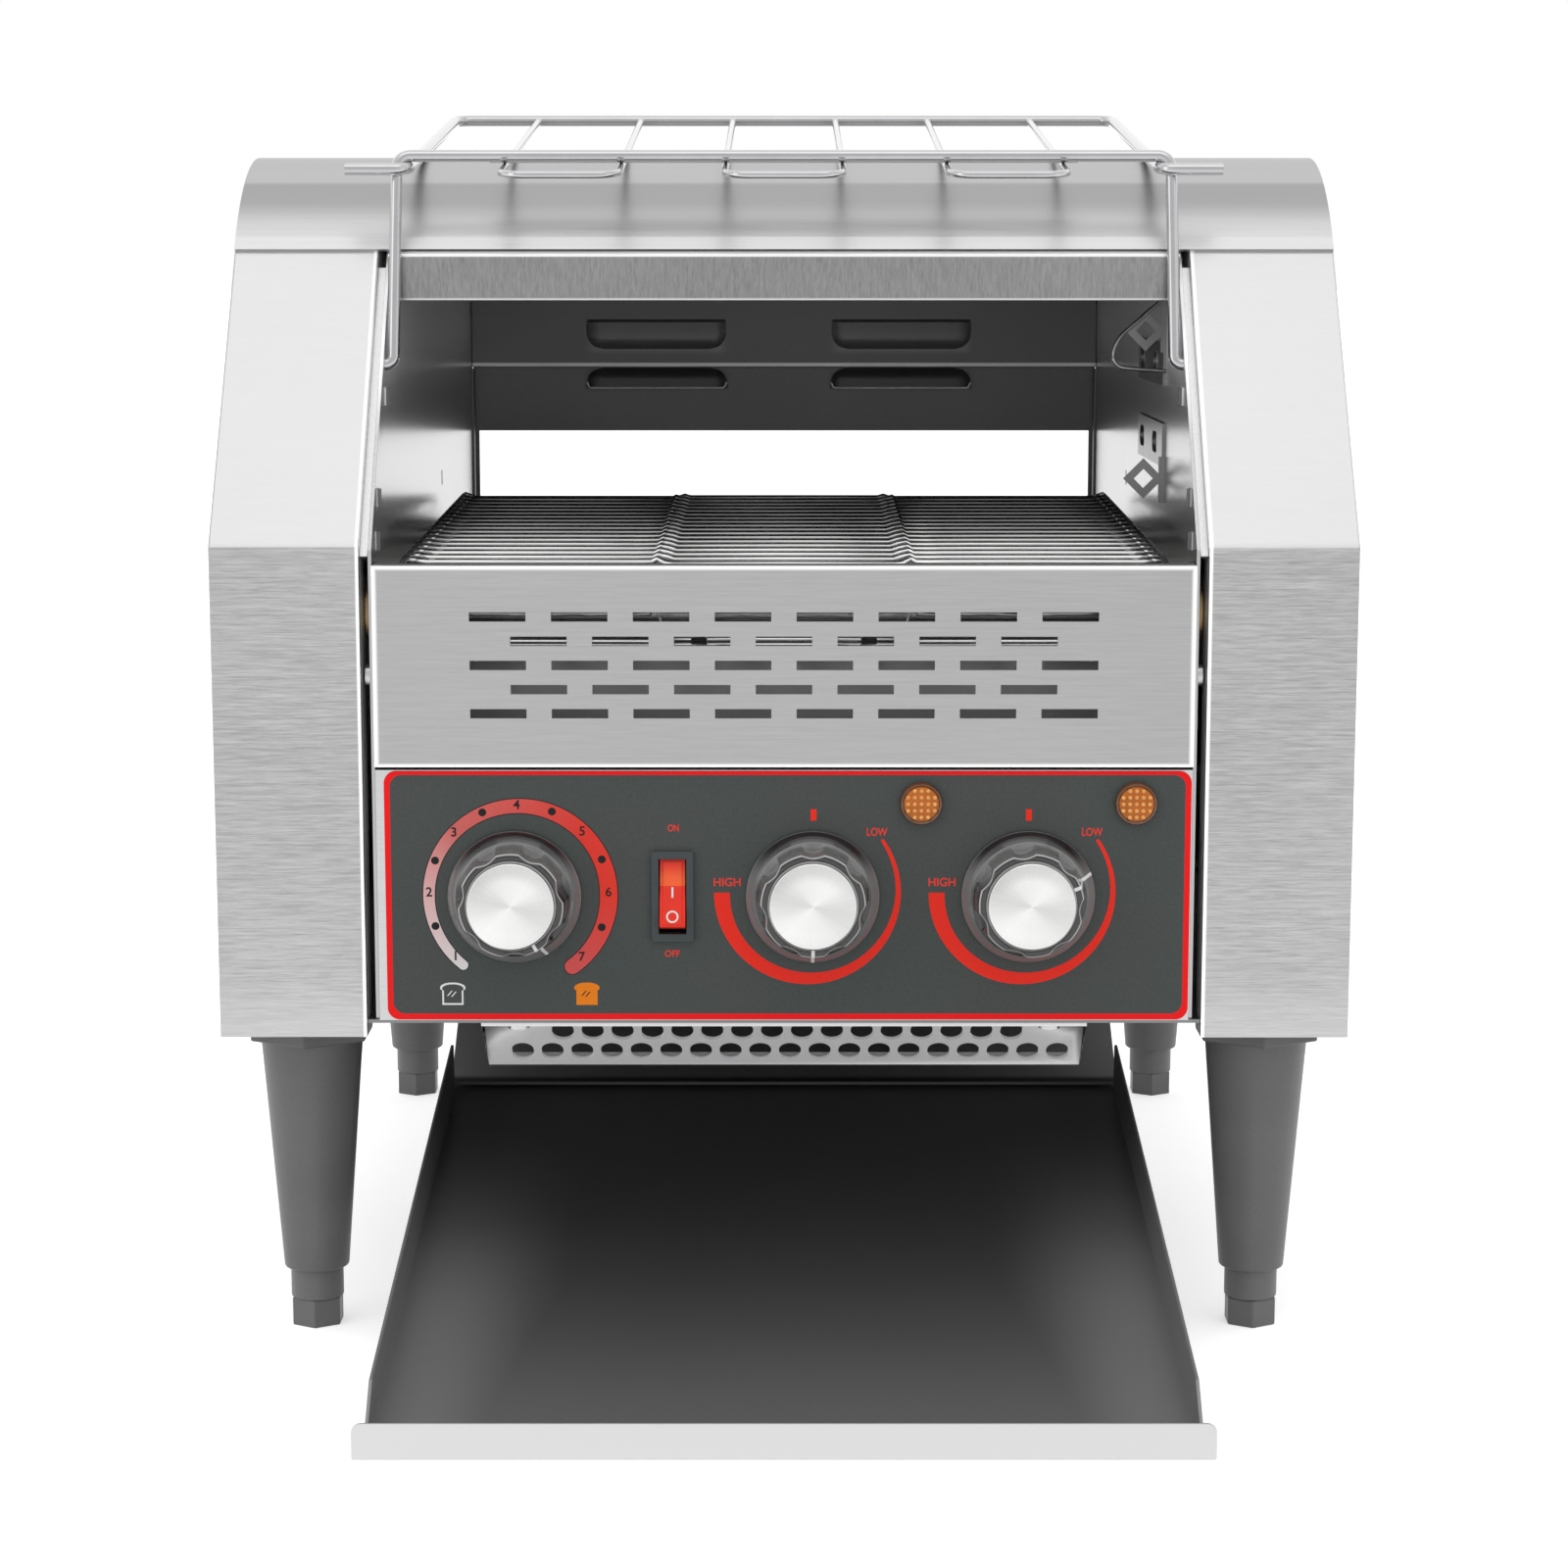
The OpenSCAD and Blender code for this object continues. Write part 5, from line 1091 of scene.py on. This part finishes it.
for name, cx, pointing in (("speed", -87.32, 151), ("upper_heat", 9.30, 180), ("lower_heat", 79.14, 69)):
    grip = turned_piece(name + "_grip", cx, knob_z, grip_rings, 224, flutes=flute_count,
                        start=math.radians(pointing + 180 / flute_count))
    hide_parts(name + "_knob")
    fitted(grip, phenolic(name + "_phenolic", cx, knob_z), name + "_dial")
    cap = turned_piece(name + "_cap", cx, knob_z, cap_rings, 96)
    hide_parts(name + "_knob_cap")
    fitted(cap, spun(name + "_spun", cx, knob_z), name + "_dial")
    out = Vector((math.sin(math.radians(pointing)), 0, math.cos(math.radians(pointing))))
    across = Vector((out.z, 0, -out.x))
    shape = bmesh.new()
    close(shape, *([shape.verts.new(at(*(Vector((cx, y, knob_z)) + out * r + across * w)))
                    for y, r in line_profile] for w in (-line_half, line_half)))
    fitted(built(name + "_pointer", shape), white_ink, name + "_dial")

# Lamps: amber moulded lenses in brown rims, snapped into the film. Rows of moulded studs inside
# each lens are drawn in a paler amber with painted glints.

brown_rim = flecked("brown_rim", (0.13, 0.050, 0.020), 500, 0.7, 1.3, Roughness=0.25, Coat_Weight=0.3)
dressed("lamp_housings", brown_rim, 0.3, 3)
amber = Finish("amber_lens", Roughness=0.3, Specular_IOR_Level=0.25)
swirl = amber.noise((300, 300, 300), detail=2.0)
amber.set(Base_Color=amber.blend(swirl, (0.33, 0.085, 0.012), (0.62, 0.17, 0.020)),
          Normal=amber.bump(swirl, 0.15, 0.0004))
bright_amber = Finish("amber_studs", Roughness=0.15, Specular_IOR_Level=0.5)
# Painted glints: the studs are a paler amber, near white in spots.
stud_glint = bright_amber.noise((700, 700, 700))
bright_amber.set(Base_Color=bright_amber.blend(stud_glint, (0.62, 0.17, 0.012), (1.0, 0.55, 0.16)))
lamp_z, lamp_steps, stud_y = 182.5, 64, -2.65
lens_rings = [(-0.9, 5.7, 0), (-2.1, 5.7, 0), (-2.4, 5.6, 0), (-2.6, 5.2, 0), (-2.7, 3.0, 0), (-2.7, 1.0, 0)]
rim_rings = [(-1.0, 6.9, 0), (-1.9, 6.85, 0), (-2.4, 6.5, 0), (-2.5, 6.1, 0), (-2.3, 5.8, 0), (-1.6, 5.6, 0)]
for side, lamp_x in (("left", 44.32), ("right", 113.70)):
    lens = turned_piece("lens_" + side, lamp_x, lamp_z, lens_rings, lamp_steps)
    rim = turned_piece("rim_" + side, lamp_x, lamp_z, rim_rings, lamp_steps)
    for piece, finish in ((lens, amber), (rim, brown_rim)):
        fitted(piece, finish, "chassis")
    studs = Tree("studs_" + side, Place=("Vector", at(lamp_x, stud_y, lamp_z)),
                 Span=("Float", 0.0086), Radius=("Float", 0.00072), Reach=("Float", 0.0049),
                 Material=("Material", bright_amber.material))
    plane = studs.node("GeometryNodeMeshGrid", {}, {
        "Size X": studs.get("Span"), "Size Y": studs.get("Span"), "Vertices X": 5, "Vertices Y": 5})
    stud_place = studs.node("GeometryNodeInputPosition")
    from_middle = studs.node("ShaderNodeVectorMath", {"operation": "LENGTH"}, {0: stud_place}, "Value")
    outside = studs.node("FunctionNodeCompare", {"operation": "GREATER_THAN"}, {
        0: from_middle, 1: studs.get("Reach")})
    kept = studs.node("GeometryNodeDeleteGeometry", {}, {"Geometry": plane, "Selection": outside})
    bead = studs.node("GeometryNodeMeshUVSphere", {}, {
        "Segments": 10, "Rings": 6, "Radius": studs.get("Radius")})
    bead = studs.node("GeometryNodeTransform", {}, {"Geometry": bead, "Scale": (1, 1, 0.45)})
    beads = studs.node("GeometryNodeInstanceOnPoints", {}, {"Points": kept, "Instance": bead})
    beads = studs.node("GeometryNodeTransform", {}, {"Geometry": beads, "Rotation": (math.pi / 2, 0, 0)})
    beads = studs.node("GeometryNodeTransform", {}, {"Geometry": beads, "Translation": studs.get("Place")})
    beads = studs.node("GeometryNodeRealizeInstances", {}, {"Geometry": beads})
    beads = studs.bake("studs_" + side, studs.node("GeometryNodeSetShadeSmooth", {}, {"Geometry": beads}))
    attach(beads, "chassis")
    if side == "left":
        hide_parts("lamp_lenses")

# Shafts, belt wheels, sprockets and chain, spindles, screws and nuts: turned or pressed from
# plated steel. The CAD form of each is right as it is.


def finished(finish, *nodes):
    """Gives CAD nodes that keep their form their finish."""
    for node in nodes:
        frame["nodes"][node].data.materials.clear()
        frame["nodes"][node].data.materials.append(finish.material)


finished(brushed("plated_steel", 0.50, rough=0.26),
         "drive_shaft", "idler_shaft", "belt_wheels_front", "belt_wheels_rear", "speed_spindle",
         "upper_heat_spindle", "lower_heat_spindle", "pan_screws", "leg_nuts")
finished(brushed("chain_steel", 0.24, rough=0.34), "drive_chain", "drive_sprocket", "motor_sprocket")

# Heaters, bearings, motor, fan and the electrical parts behind the control panel, each with the
# finish such a bought part has: clear quartz, glazed ceramic, sintered bronze, cast and moulded.


def moulded(name, colour, metallic=0.0, rough=0.45, fleck_size=400):
    """A cast or moulded finish, lightly mottled."""
    finish = Finish(name, Metallic=metallic)
    fleck = finish.noise((fleck_size,) * 3, detail=3.0)
    finish.set(Base_Color=finish.shade(fleck, colour, 0.85, 1.15), Roughness=rough + (fleck - 0.5) * 0.1,
               Normal=finish.bump(fleck, 0.05, 0.0002))
    return finish


finished(moulded("quartz", (0.78, 0.78, 0.76), rough=0.2), "upper_heaters", "lower_heaters")
finished(moulded("ceramic", (0.78, 0.76, 0.70), rough=0.6), "heater_insulators", "terminal_block")
finished(moulded("bronze", (0.55, 0.38, 0.2), 1.0, 0.45), "shaft_bearings")
finished(moulded("motor_case", (0.2, 0.21, 0.22), 0.4, 0.4), "gear_motor")
finished(moulded("fan_nylon", (0.022, 0.022, 0.022), rough=0.5), "fan_frame", "fan_rotor")
finished(moulded("board_green", (0.02, 0.15, 0.07), rough=0.4), "speed_board")
finished(moulded("switch_nylon", (0.03, 0.03, 0.032), rough=0.5),
         "heat_switches", "speed_potentiometer", "cable_gland")
